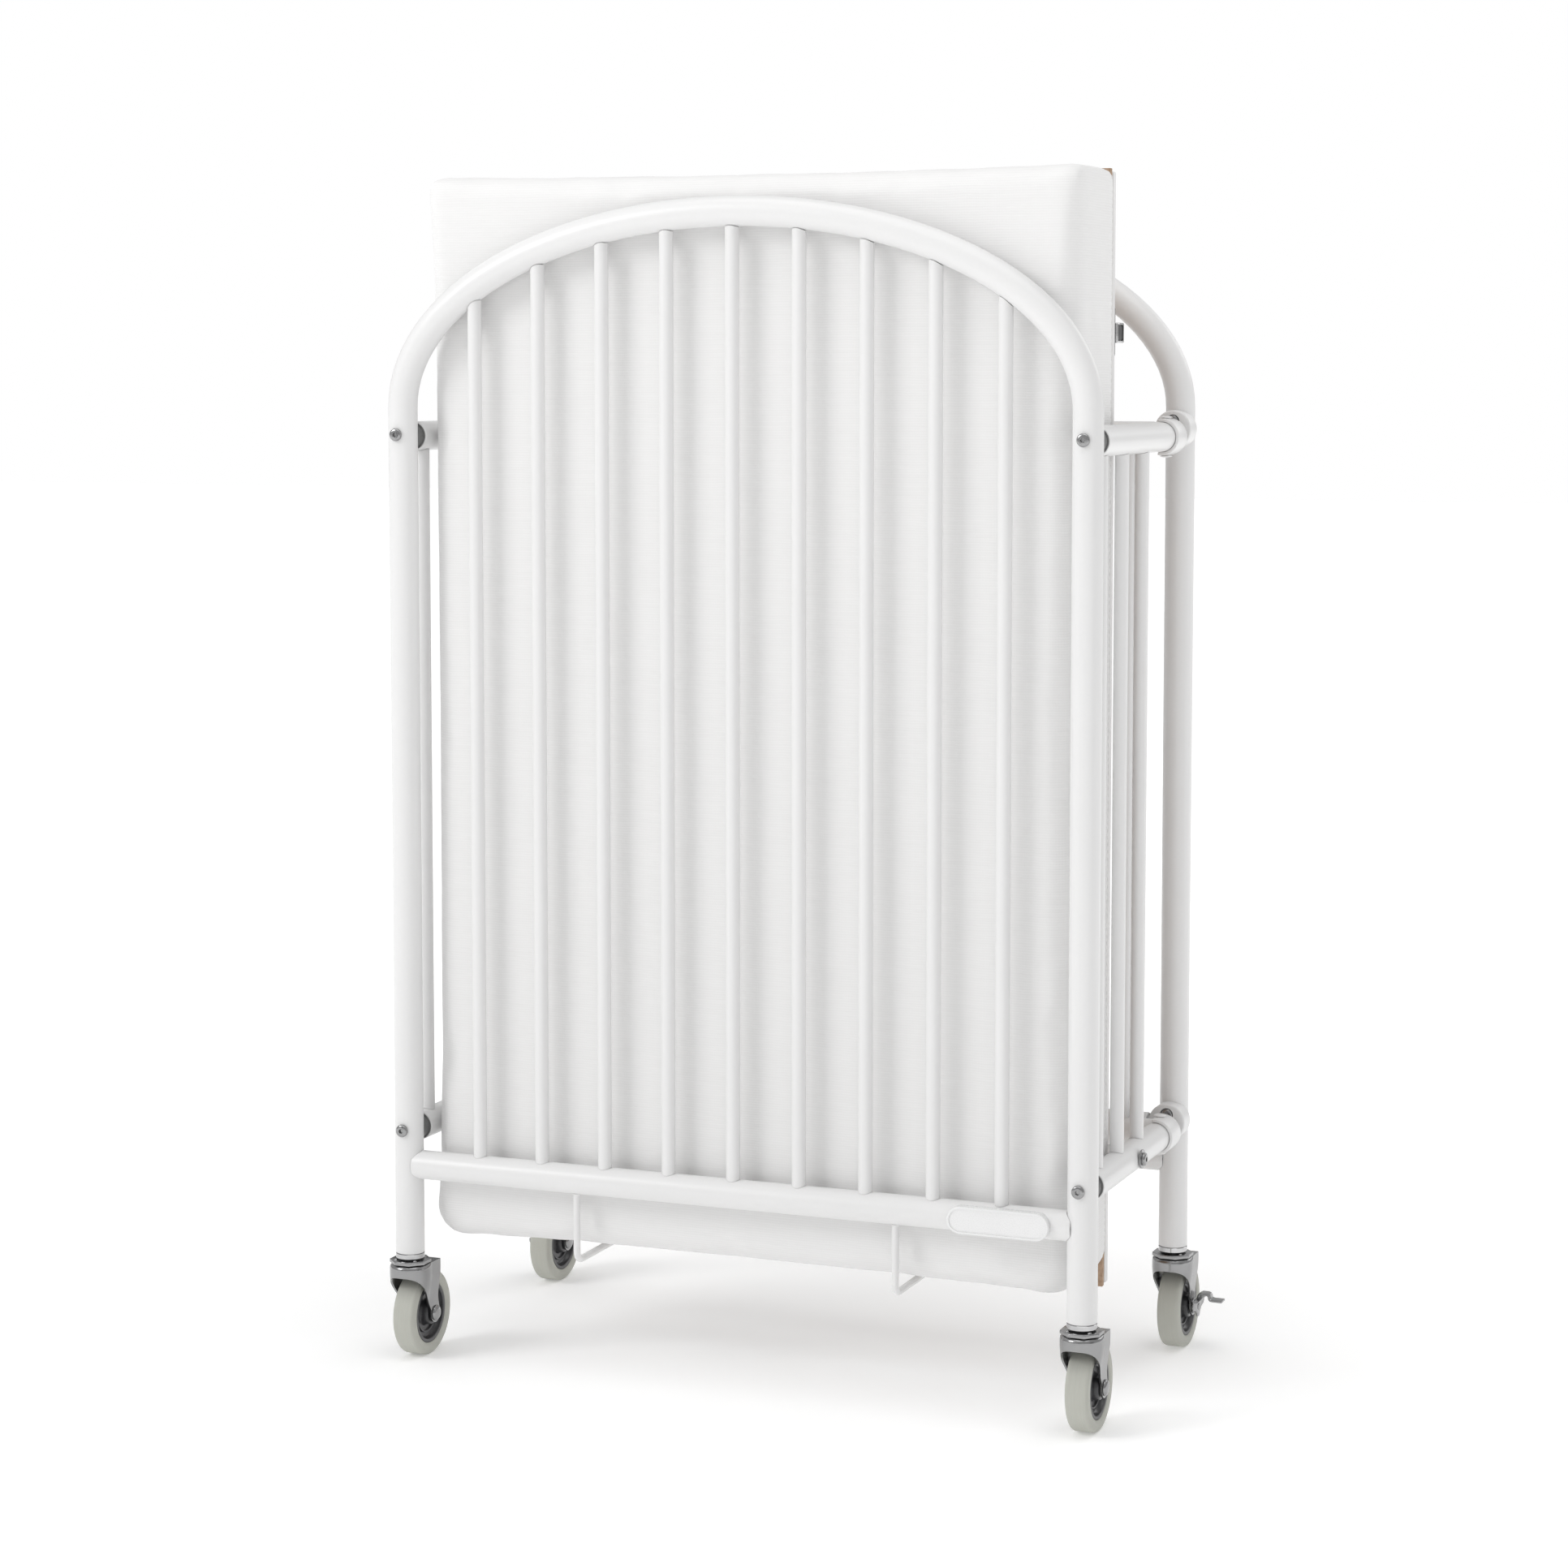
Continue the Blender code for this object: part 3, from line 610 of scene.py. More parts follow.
def makeFastenerTree():
    # a fastener on each point, turned to face one way and clocked at random
    tree, graph, wires = newTree("fasteners", [
        ("Fastener", "NodeSocketObject", None), ("Turn", "NodeSocketRotation", None),
        ("Size", "NodeSocketFloat", 1.0), ("Seed", "NodeSocketInt", 3),
        ("Finish", "NodeSocketMaterial", None)])
    shape = graph.add("GeometryNodeObjectInfo", None, {"Object": wires["Fastener"]}, "Geometry")
    clock = graph.add("FunctionNodeRandomValue", {"data_type": "FLOAT"},
                      {2: 0.0, 3: math.tau, "Seed": wires["Seed"]}, 1)
    spin = graph.add("ShaderNodeCombineXYZ", None, {"Z": clock})
    heads = graph.add("GeometryNodeInstanceOnPoints", None,
                      {"Points": wires["Geometry"], "Instance": shape, "Rotation": wires["Turn"],
                       "Scale": wires["Size"]})
    clocked = graph.add("GeometryNodeRotateInstances", None, {"Instances": heads, "Rotation": spin})
    endTree(graph, clocked, wires["Finish"])
    return tree


def makeRingTree():
    # a shape repeated round the local Z axis
    tree, graph, wires = newTree("ringOfShapes", [
        ("Shape", "NodeSocketObject", None), ("Count", "NodeSocketInt", 8),
        ("Finish", "NodeSocketMaterial", None)])
    shape = graph.add("GeometryNodeObjectInfo", None, {"Object": wires["Shape"]}, "Geometry")
    spots = graph.add("GeometryNodeMeshLine", {"mode": "OFFSET"},
                      {"Count": wires["Count"], "Offset": (0.0, 0.0, 0.0)})
    turn = graph.add("GeometryNodeInputIndex") * math.tau / wires["Count"]
    spin = graph.add("ShaderNodeCombineXYZ", None, {"Z": turn})
    ring = graph.add("GeometryNodeInstanceOnPoints", None,
                     {"Points": spots, "Instance": shape, "Rotation": spin})
    endTree(graph, ring, wires["Finish"])
    return tree


def makeStitchTree():
    # stitches laid end to end along a line of points
    tree, graph, wires = newTree("stitchRow", [
        ("Pitch", "NodeSocketFloat", 0.005), ("Length", "NodeSocketFloat", 0.0036),
        ("Thickness", "NodeSocketFloat", 0.0004), ("Finish", "NodeSocketMaterial", None)])
    line = graph.add("GeometryNodeMeshToCurve", None, {"Mesh": wires["Geometry"]})
    spots = graph.add("GeometryNodeCurveToPoints", {"mode": "LENGTH"},
                      {"Curve": line, "Length": wires["Pitch"]})
    tangent = Wire(graph, spots.socket.node.outputs["Tangent"])
    ball = graph.add("GeometryNodeMeshUVSphere", None, {"Segments": 6, "Rings": 4, "Radius": 0.5})
    turn = graph.add("FunctionNodeAlignRotationToVector", {"axis": "X"}, {"Vector": tangent})
    size = graph.add("ShaderNodeCombineXYZ", None,
                     {"X": wires["Length"], "Y": wires["Thickness"] * 2.0, "Z": wires["Thickness"] * 2.0})
    row = graph.add("GeometryNodeInstanceOnPoints", None,
                    {"Points": spots, "Instance": ball, "Rotation": turn, "Scale": size})
    endTree(graph, row, wires["Finish"])
    return tree


slatTree = makeSlatTree()
fastenerTree = makeFastenerTree()
ringTree = makeRingTree()
stitchTree = makeStitchTree()


def template(name, mesh):
    # a shape that a tree repeats; it is removed before the end
    thing = bpy.data.objects.new(name, mesh)
    scene.collection.objects.link(thing)
    thing.hide_render = True
    templates.append(thing)
    return thing


templates = []
print("trees built: 4")


# The two arched ends

archLook = {
    "steps": 56,
    "sides": 36,
    "rise": 164.3 * mm,
    "footChamfer": 0.5 * mm,
    "straight": 0.2,
}
springZ = hoopHigh.z - tubeRadius - archLook["rise"]


def archPoint(angle, y):
    return Vector((legX * math.cos(angle), y, springZ + archLook["rise"] * math.sin(angle)))


def hoopMesh(y, footZ):
    # the leg foot, the leg, the arch and the other leg, with both feet chamfered
    chamfer = archLook["footChamfer"]
    left = [Vector((-legX, y, footZ + up)) for up in (0.0, chamfer, archLook["straight"])]
    arch = [archPoint(math.pi * (1 - i / archLook["steps"]), y) for i in range(archLook["steps"] + 1)]
    right = [Vector((-p.x, p.y, p.z)) for p in reversed(left)]
    radii = [tubeRadius - chamfer] + [tubeRadius] * (len(left) + len(arch) + len(right) - 2)
    radii.append(tubeRadius - chamfer)
    return swept(left + arch + right, radii, (0, 1, 0), archLook["sides"])


for end, y in (("front", frontY), ("rear", rearY)):
    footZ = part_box(end + "_hoop")[0].z
    piece(end + "_arched_tube", hoopMesh(y, footZ), white, [end + "_hoop"])


railLook = {
    "sides": 36,
    "edge": 0.5 * mm,
    "copeStops": 10.6 * mm,             # past this the saw cut is straight, which leaves a small gap
    "wall": 1.6 * mm,
    "plugDepth": 8.0 * mm,
    "plugProud": 0.12 * mm,
}


def railMesh(start, end, startCut, endCut, radius=tubeRadius):
    # a straight tube; a cut gives how far its end stands back at a place across the section
    along = (end - start).normalized()
    level = along.cross(Vector((0, 0, 1)))
    edge = railLook["edge"]
    rings = []
    for origin, way, cut in ((start, 1, startCut), (end, -1, endCut)):
        side = []
        for share, back in ((0.3, edge * 2), (0.86, edge * 2), (0.90, 0.0), (1 - edge / radius, 0.0),
                            (1.0, edge)):
            ring = []
            for k in range(railLook["sides"]):
                angle = math.tau * k / railLook["sides"]
                u, v = radius * share * math.cos(angle), radius * share * math.sin(angle)
                offset = (cut(u, v) + back) * way
                ring.append(origin + along * offset + level * u + Vector((0, 0, v)))
            side.append(ring)
        rings += side if way > 0 else reversed(side)
    return ringed(rings)


def square(u, v):
    return 0.0


def coped(u, v):
    # the end of a tube that meets another of the same radius, which stands 0.3 mm off at the middle
    u = min(abs(u), railLook["copeStops"])
    return math.sqrt(tubeRadius ** 2 - u * u) - tubeRadius


def domedRail(hinge, far, y, z):
    # a rail whose hinge end is a half ball about the hinge's axis
    way = 1 if far > hinge else -1
    steps = 10
    rings = []
    for i in range(steps + 1):
        angle = math.pi / 2 * i / steps
        rings.append((hinge - way * tubeRadius * math.cos(angle),
                      max(tubeRadius * math.sin(angle), 0.02 * mm)))
    edge = railLook["edge"]
    rings += [(far - way * edge, tubeRadius), (far, tubeRadius - edge), (far, tubeRadius * 0.9),
              (far - way * edge * 2, tubeRadius * 0.86)]
    sides = railLook["sides"]
    loops = [[Vector((x, y + r * math.cos(math.tau * k / sides), z + r * math.sin(math.tau * k / sides)))
              for k in range(sides)] for x, r in rings]
    return ringed(loops)


slatLook = {
    "radius": 6.0 * mm,
    "pitch": 60.0 * mm,
    "lowGap": 0.25 * mm,
    "archGap": 0.9 * mm,                # the slats stop just short of the arch
    "railGap": 0.3 * mm,
}


def slatRow(count, first, low, high, place, archRise=0.0, gap=None):
    mesh = grown(slatTree, {
        "Slats": count, "First": first, "Pitch": slatLook["pitch"], "Radius": slatLook["radius"],
        "Low": low, "High": high, "Tube radius": tubeRadius, "Arch rise": archRise,
        "Arch half width": legX, "Low gap": slatLook["lowGap"],
        "High gap": slatLook["railGap"] if gap is None else gap, "Finish": finishes[white]})
    mesh.transform(place)
    return mesh


for end, y in (("front", frontY), ("rear", rearY)):
    reach = legX - tubeRadius - 0.3 * mm
    rail = railMesh(Vector((-reach, y, sillZ)), Vector((reach, y, sillZ)), coped, coped)
    slats = slatRow(9, -4 * slatLook["pitch"], sillZ, springZ, Matrix.Translation((0, y, 0)),
                    archLook["rise"], slatLook["archGap"])
    node = end + "_slat_panel"
    piece(end + "_lower_rail", rail, white, [node])
    piece(end + "_slats", slats, white, [], nodes[node]["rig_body"])
    plugs = []
    for side in (-1, 1):
        ends = sorted((side * (reach - railLook["plugDepth"]), side * (reach + railLook["plugProud"])))
        cuts = (square, coped) if side > 0 else (coped, square)
        plugs.append(railMesh(Vector((ends[0], y, sillZ)), Vector((ends[1], y, sillZ)), *cuts,
                              radius=tubeRadius - railLook["wall"]))
    piece(end + "_lower_rail_plugs", together(plugs), plugGrey, [], nodes[node]["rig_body"])
print("arched ends and their slats made")


# Folding sides: two rails, six slats and the leaves of the middle hinge to each section

sideLook = {
    "firstSlat": 34.0 * mm,
    "slats": 6,
    "leafReach": 46.0 * mm,
    "leafHalf": 8.0 * mm,
    "leafThick": 3.2 * mm,
    "leafSunk": 0.7 * mm,
    "pin": 4.0 * mm,
    "pinClear": 0.35 * mm,
    "lug": 6.0 * mm,
    "rearPin": 3.0 * mm,
    "railPastPin": 6.0 * mm,
    "lugLength": 18.0 * mm,
}


def leafMesh(pivot, railY, way, low, high):
    # from the pin to its own section's rail; way is the sign of X towards the section's far end
    half = sideLook["leafHalf"]
    toward = 1 if railY > pivot.y else -1
    arc = [(pivot.x - way * half * math.cos(a), pivot.y - toward * half * math.sin(a))
           for a in [math.radians(-52 + 8.5 * i) for i in range(22)]]
    far = pivot.x + way * sideLook["leafReach"]
    rear = railY + toward * half * 0.75
    corner = 5.0 * mm
    tip = [(far - way * corner * (1 - math.sin(a)), rear - toward * corner * (1 - math.cos(a)))
           for a in [math.radians(90 - 15 * i) for i in range(7)]]
    outline = arc + [(far, pivot.y - toward * 1.0 * mm)] + tip
    outline.append((pivot.x + way * (half - 1.0 * mm), rear))
    shape = plate(outline, low, high, edge=0.5 * mm, segments=2)
    radius = sideLook["pin"] + sideLook["pinClear"]
    hole = turned([(radius, low - 1 * mm), (radius, high + 1 * mm)],
                  Matrix.Translation((pivot.x, pivot.y, 0)), 32)
    return cutOut(shape, hole)


def lugMesh(x, y, z, way):
    # the flattened end that turns on the rear knuckle's pin
    radius = sideLook["lug"]
    tip = [(x + way * radius * math.cos(a), y + radius * math.sin(a))
           for a in [math.radians(-90 + 15 * i) for i in range(13)]]
    outline = tip + [(x - way * 26 * mm, y + radius), (x - way * 26 * mm, y - radius)]
    shape = plate(outline, z - 4 * mm, z + 4 * mm, edge=0.8 * mm)
    radius = sideLook["rearPin"] + sideLook["pinClear"]
    hole = turned([(radius, -6 * mm), (radius, 6 * mm)], Matrix.Translation((x, y, z)), 28)
    return cutOut(shape, hole)


def sideSection(word, part, hinge, pivot):
    # one half of a folding side, from its hinge to just past the middle pin
    node, near = f"{word}_{part}_side", part == "near"
    name = f"{word}_{part}_section"
    side = 1 if hinge.x > 0 else -1
    railEnd = pivot.x + side * sideLook["railPastPin"]
    domedEnd = near or side < 0
    rails, leaves, lugs = [], [], []
    for z, way in ((upperZ, 1 if near else -1), (lowerZ, -1 if near else 1)):
        if domedEnd:
            rails.append(domedRail(hinge.x, railEnd, hinge.y, z))
        else:
            start = hinge.x - side * sideLook["lugLength"]
            rails.append(railMesh(Vector((railEnd, hinge.y, z)), Vector((start, hinge.y, z)), square,
                                  square))
            lugs.append(lugMesh(hinge.x, hinge.y, z, side))
        seat = tubeRadius - sideLook["leafSunk"]
        faces = sorted(z + way * height for height in (seat, seat + sideLook["leafThick"]))
        leaves.append(leafMesh(pivot, hinge.y, side, *faces))
    slats = slatRow(sideLook["slats"], 0.0, lowerZ, upperZ,
                    Matrix.Translation((hinge.x - side * sideLook["firstSlat"], hinge.y, 0))
                    @ Matrix.Rotation(math.pi if side > 0 else 0.0, 4, "Z"))
    body = nodes[node]["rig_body"]
    piece(name + "_rails", together(rails), white, [node])
    piece(name + "_slats", slats, white, [], body)
    piece(name + "_hinge_leaves", together(leaves), white, [], body)
    if lugs:
        piece(name + "_rear_lugs", together(lugs), white, [], body)


rightHinge, rightMid, rearHinge = joints["frame_open"], joints["right_mid_hinge"], joints["rear_hinge"]
leftHinge, leftMid = joints["left_front_hinge"], joints["left_mid_hinge"]
leftRear = Vector((leftHinge.x, leftHinge.y + (leftMid.y - leftHinge.y) * 2, 0))
sideSection("right", "near", rightHinge, rightMid)
sideSection("right", "far", rearHinge, rightMid)
sideSection("left", "near", leftHinge, leftMid)
sideSection("left", "far", leftRear, leftMid)


def midRod(name, node, pivot):
    # the long pin through all four leaves, with a formed head and a riveted foot
    low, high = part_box(node)
    radius = sideLook["pin"]
    head = (high.x - low.x) / 2
    profile = [(0.0, high.z)] + [(r * mm, high.z - d * mm) for r, d in ((2.6, 0.05), (4.4, 0.4), (5.5, 1.1))]
    profile += [(head, high.z - 1.9 * mm), (head, high.z - 2.4 * mm), (radius, high.z - 2.4 * mm),
                (radius, low.z + 0.6 * mm), (radius - 0.5 * mm, low.z), (0.0, low.z)]
    return piece(name, turned(profile, Matrix.Translation((pivot.x, pivot.y, 0)), 28), zinc, [node])


midRod("right_middle_hinge_pin", "right_mid_rod", rightMid)
midRod("left_middle_hinge_pin", "left_mid_rod", leftMid)
print("folding sides made")


# Short fixed lengths of side rail that stand out from the ends

def wingRails(name, node, x, backs):
    low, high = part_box(node)
    rails = [railMesh(Vector((x, low.y, z)), Vector((x, high.y, z)), square, square)
             for z in (upperZ, lowerZ)]
    place = Matrix.Translation((x, backs[0], 0)) @ Matrix.Rotation(math.pi / 2, 4, "Z")
    slats = slatRow(len(backs), 0.0, lowerZ, upperZ, place)
    piece(name + "_rails", together(rails), white, [node])
    piece(name + "_slats", slats, white, [], nodes[node]["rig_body"])


wingLook = {
    "firstSlat": 36.0 * mm,
    "rearSlat": 226.0 * mm,
}
for name, x, count in (("right_wing", legX, 3), ("left_wing", -legX, 2)):
    wingRails(name, name, x, [frontY + wingLook["firstSlat"] + i * slatLook["pitch"] for i in range(count)])
wingRails("rear_left_wing", "rear_wing", -legX, [frontY + wingLook["rearSlat"]])


plugLook = {
    "flange": 12.1 * mm,
    "nose": 10.8 * mm,
    "flangeThick": 1.3 * mm,
    "round": 0.4 * mm,
    "spare": 9.0 * mm,                  # length that the leg's curve is cut from
}


def railPlug(name, node):
    # the plug between a leg and a wing rail: a thin flange, and a nose hollowed to fit the leg
    low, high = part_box(node)
    centre = (low + high) / 2
    place = facing(centre.x, high.y, centre.z, (0, -1, 0))
    flange, nose, thick = plugLook["flange"], plugLook["nose"], plugLook["flangeThick"]
    soft, end = plugLook["round"], high.y - low.y + plugLook["spare"]
    profile = [(0.0, 0.0), (flange - soft, 0.0), (flange, soft), (flange, thick - soft),
               (flange - soft, thick), (nose, thick), (nose, end), (0.0, end)]
    leg = turned([(tubeRadius + 0.15 * mm, centre.z - 0.04), (tubeRadius + 0.15 * mm, centre.z + 0.04)],
                 Matrix.Translation((centre.x, frontY, 0)), 64)
    return piece(name, cutOut(turned(profile, place, 40), leg), plugGrey, [node])


for side in ("right", "left"):
    for level in ("upper", "lower"):
        railPlug(f"{side}_{level}_rail_end_plug", f"{side}_{level}_rail_plug")


# Knuckles round the hinges

knuckleLook = {
    "wrap": 102,                        # degrees each way from straight outwards
    "steps": 34,
    "edge": 0.7 * mm,
    "rivet": 5.6 * mm,
}


def strapMesh(x, y0, y1, z, side):
    # a C-shaped band round the outside of a rail
    inner, outer = tubeRadius + 0.3 * mm, tubeRadius + 3.1 * mm
    wrap, steps = knuckleLook["wrap"], knuckleLook["steps"]
    angles = [math.radians(-wrap + 2 * wrap * i / steps) for i in range(steps + 1)]
    rim = [(side * outer * math.cos(a), outer * math.sin(a)) for a in angles]
    bore = [(side * inner * math.cos(a), inner * math.sin(a)) for a in reversed(angles)]
    upright = Matrix.Translation((x, 0, z)) @ Matrix.Rotation(math.pi / 2, 4, "X")
    return plate(rim + bore, -y1, -y0, upright, edge=knuckleLook["edge"], segments=3)


def hingePin(x, y, z, reach, radius):
    cap = knuckleLook["rivet"]
    half = [(cap * share, reach - down * mm)
            for share, down in ((0.0, 0.0), (0.5, 0.15), (0.85, 0.7), (1.0, 1.5))]
    return turned(mirrored(half + [(radius, half[-1][1])]), Matrix.Translation((x, y, z)), 28)


for side, word, hinge in ((1, "right", rightHinge), (-1, "left", leftHinge)):
    for level, z in (("upper", upperZ), ("lower", lowerZ)):
        node = f"{word}_{level}_front_knuckle"
        low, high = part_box(node)
        piece(f"{word}_{level}_hinge_strap", strapMesh(hinge.x, low.y, high.y, z, side),
              white, [node])
        pin = hingePin(hinge.x, hinge.y, z, (high.z - low.z) / 2, sideLook["pin"])
        piece(f"{word}_{level}_hinge_pin", pin, white, [], "front_end")


def rearKnuckle(name, node, z):
    # a boss on the rear leg, slotted for the far section's lug, with a recess for its bolt
    low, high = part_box(node)
    radius = (high.x - low.x) / 2
    centreZ = (low.z + high.z) / 2
    depth = high.y - low.y
    place = facing(legX, high.y, centreZ, (0, -1, 0))
    legSide = [(0.0, -8 * mm), (radius - 1.2 * mm, -8 * mm)]
    soft = 1.5 * mm
    rim = [(radius - soft + soft * math.sin(a), depth - soft + soft * math.cos(a))
           for a in [math.radians(90 - 15 * i) for i in range(7)]]
    boss = turned(legSide + [(radius, -6.8 * mm)] + rim + [(0.0, depth)], place, 56)
    leg = turned([(tubeRadius + 0.1 * mm, z - 0.05), (tubeRadius + 0.1 * mm, z + 0.05)],
                 Matrix.Translation((legX, rearY, 0)), 64)
    slot = block(Vector((legX - 0.03, low.y - 5 * mm, z - 4.6 * mm)),
                 Vector((legX + 7 * mm, high.y, z + 4.6 * mm)))
    boltZ = z + 13 * mm
    recess = turned([(5.9 * mm, -3.0 * mm), (5.9 * mm, 4 * mm)], facing(legX, low.y, boltZ, (0, -1, 0)), 40)
    pinRadius = sideLook["rearPin"]
    pin = turned([(pinRadius, -6 * mm), (pinRadius, 6 * mm)],
                 Matrix.Translation((legX, rearHinge.y, z)), 28)
    piece(name, cutOut(boss, leg, slot, recess), white, [node])
    piece(name + "_pin", pin, zinc, [], "rear_end")
    return Vector((legX, low.y + 2.9 * mm, boltZ))


rearBoltSpots = [rearKnuckle(f"right_{level}_rear_boss", f"right_{level}_rear_knuckle", z)
                 for level, z in (("upper", upperZ), ("lower", lowerZ))]


def openPivot():
    # the left rear hinge closes on the rear end in the real cot; its strap and pin ride with the rear end
    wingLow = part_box("rear_wing")[0]
    for level, z in (("upper", upperZ), ("lower", lowerZ)):
        strap = strapMesh(-legX, leftRear.y - 11.5 * mm, wingLow.y + 2.7 * mm, z, -1)
        piece(f"left_{level}_rear_strap", strap, white, [], "rear_end")
        piece(f"left_{level}_rear_pin", hingePin(-legX, leftRear.y, z, 18 * mm, sideLook["pin"] - 0.4 * mm),
              white, [], "rear_end")


openPivot()
print("knuckles made")


# Bolts

boltLook = {
    "head": 5.5 * mm,
    "height": 3.2 * mm,
    "socket": 1.9 * mm,                 # across a flat, from the middle
    "socketDepth": 2.0 * mm,
    "sides": 36,
}


def buttonHead():
    # a domed head with a hexagonal socket, facing local +Z, its seat at the origin
    head, height, sides = boltLook["head"], boltLook["height"], boltLook["sides"]
    rings = []
    for share, lift in ((0.985, 0.0), (1.0, 0.12), (1.0, 0.52), (0.95, 0.76), (0.84, 0.91), (0.62, 0.985)):
        rings.append([Vector((head * share * math.cos(math.tau * k / sides),
                              head * share * math.sin(math.tau * k / sides), height * lift))
                      for k in range(sides)])
    for grow, lift in ((1.08, 1.0), (1.0, 0.96), (1.0, 1.0 - boltLook["socketDepth"] / height)):
        ring = []
        for k in range(sides):
            angle = math.tau * k / sides
            within = (angle + math.pi / 6) % (math.pi / 3) - math.pi / 6
            reach = boltLook["socket"] * grow / math.cos(within)
            ring.append(Vector((reach * math.cos(angle), reach * math.sin(angle), height * lift)))
        rings.append(ring)
    return ringed(rings)


def pointCloud(spots, edges=()):
    mesh = bpy.data.meshes.new("spots")
    mesh.from_pydata([tuple(spot) for spot in spots], edges, [])
    return mesh


def fasteners(name, shape, spots, direction, slot, standsFor, body, size=1.0, seed=3):
    turn = Vector(direction).to_track_quat("Z", "Y").to_euler()
    mesh = grown(fastenerTree, {"Fastener": shape, "Turn": tuple(turn), "Size": size, "Seed": seed,
                                "Finish": finishes[slot]}, pointCloud(spots))
    return piece(name, mesh, slot, standsFor, body)


buttonShape = template("buttonHeadShape", buttonHead())
legBolts = [f"{side}_{level}_leg_bolt" for side in ("right", "left") for level in ("upper", "lower")]
spots = []
for node in legBolts:
    low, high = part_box(node)
    spots.append(Vector(((low.x + high.x) / 2, high.y, (low.z + high.z) / 2)))
fasteners("leg_bolts", buttonShape, spots, (0, -1, 0), zinc, legBolts, "front_end")
fasteners("rear_knuckle_bolts", buttonShape, rearBoltSpots, (0, -1, 0), zinc, [], "rear_end", 0.98, 8)


def pivotBolt(name, node, side):
    # the board's pivot bolt: a washer, then a button head
    low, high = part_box(node)
    seat = low.x if side > 0 else high.x
    centre = (low + high) / 2
    place = facing(seat, centre.y, centre.z, (side, 0, 0))
    wide, thick = (high.z - low.z) / 2 + 1.6 * mm, 1.8 * mm
    washer = [(0.0, 0.0), (wide - 0.3 * mm, 0.0), (wide, 0.3 * mm), (wide, thick - 0.3 * mm),
              (wide - 0.3 * mm, thick), (0.0, thick)]
    piece(name + "_washer", turned(washer, place, 40), zinc, [node])
    spot = Vector((seat + side * thick, centre.y, centre.z))
    fasteners(name + "_head", buttonShape, [spot], (side, 0, 0), zinc, [], "front_end", 1.0, 5)


pivotBolt("right_board_pivot", "right_pivot_bolt", 1)
pivotBolt("left_board_pivot", "left_pivot_bolt", -1)
print("bolts made")


# Wires under the front rail, and the badge on it

wireLook = {
    "bend": 9.0 * mm,
    "bendSteps": 12,
}


def cradleWire(name, node):
    low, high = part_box(node)
    radius = (high.x - low.x) / 2
    x = (low.x + high.x) / 2
    bend, level = wireLook["bend"], low.z + radius
    points = [Vector((x, frontY, sillZ - tubeRadius + 0.4 * mm))]
    for i in range(wireLook["bendSteps"] + 1):
        angle = math.pi / 2 * i / wireLook["bendSteps"]
        points.append(Vector((x, frontY + bend * (1 - math.cos(angle)),
                              level + bend * (1 - math.sin(angle)))))
    points += [Vector((x, high.y - short, level)) for short in inMm(1.2, 0.3, 0.0)]
    radii = [radius] * (len(points) - 2) + [radius * 0.85, radius * 0.5]
    collar = turned([(radius + 0.9 * mm, 0.0), (radius + 0.15 * mm, -1.6 * mm), (0.0, -1.6 * mm), (0.0, 0.0)],
                    Matrix.Translation((x, frontY, sillZ - tubeRadius + 0.3 * mm)), 24)
    mesh = together([swept(points, radii, (1, 0, 0), 20), collar])
    return piece(name, mesh, white, [node])


cradleWire("left_mattress_wire", "left_cradle_wire")
cradleWire("right_mattress_wire", "right_cradle_wire")

badgeLook = {
    "rim": 2.0 * mm,
    "sunk": 0.8 * mm,
    "edge": 0.7 * mm,
    "steps": 20,
}


def badgeMesh():
    # a blank slot-shaped plate, raised at its rim and hollowed behind to sit on the rail
    low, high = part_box("badge")
    long, tall = high.x - low.x, high.z - low.z
    centre = (low + high) / 2
    upright = Matrix.Translation((centre.x, 0, centre.z)) @ Matrix.Rotation(math.pi / 2, 4, "X")

    def slotOutline(inset):
        r = tall / 2 - inset
        half = long / 2 - tall / 2
        steps = badgeLook["steps"]
        return arcPoints((half, 0), r, -90, 90, steps) + arcPoints((-half, 0), r, 90, 270, steps)

    body = plate(slotOutline(0.0), -high.y, -low.y, upright, badgeLook["edge"])
    field = plate(slotOutline(badgeLook["rim"]), -low.y - badgeLook["sunk"], -low.y + 2 * mm, upright)
    hollowRadius = tubeRadius + 0.25 * mm
    hollow = turned([(hollowRadius, -0.06), (hollowRadius, 0.06)],
                    facing(centre.x, frontY, sillZ, (1, 0, 0)), 64)
    return cutOut(body, field, hollow)


piece("blank_badge", badgeMesh(), "badge_plastic", ["badge"])
print("wires and badge made")


# The mattress, its board and the board's steel frame

mattressLook = {
    "inset": 3.0 * mm,                  # how much smaller it starts than the space that it swells into
    "cornerLow": 27.0 * mm,
    "cornerHigh": 10.0 * mm,
    "edge": 12.0 * mm,
    "backChamfer": 2.0 * mm,
    "voxel": 7.0 * mm,
    "pressure": 4.0,
    "frames": 20,
    "swell": 6.0 * mm,
    "slack": 0.02,
    "widest": 2.4 * mm,                 # the cover's bulge past the foam, short of the side rails
    "taller": 1.8 * mm,
    "heldDepth": 9.0 * mm,
    "spread": (0.25, 1.0, 0.25),        # the foam holds the outline, and the front swells freely
    "room": ((-1.0, -1.0, 0.0), (1.0, -0.2, 2.0)),      # mm past the foam's box, at its low and high corners
    "stitchPitch": 6.0 * mm,
    "stitchInset": 2.6 * mm,            # the closing seam, just ahead of the board
    "stitchAhead": 3.5 * mm,
    "weltRadius": 1.3 * mm,
}
padLow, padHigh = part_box("mattress")
padCorners = (mattressLook["cornerLow"],) * 2 + (mattressLook["cornerHigh"],) * 2


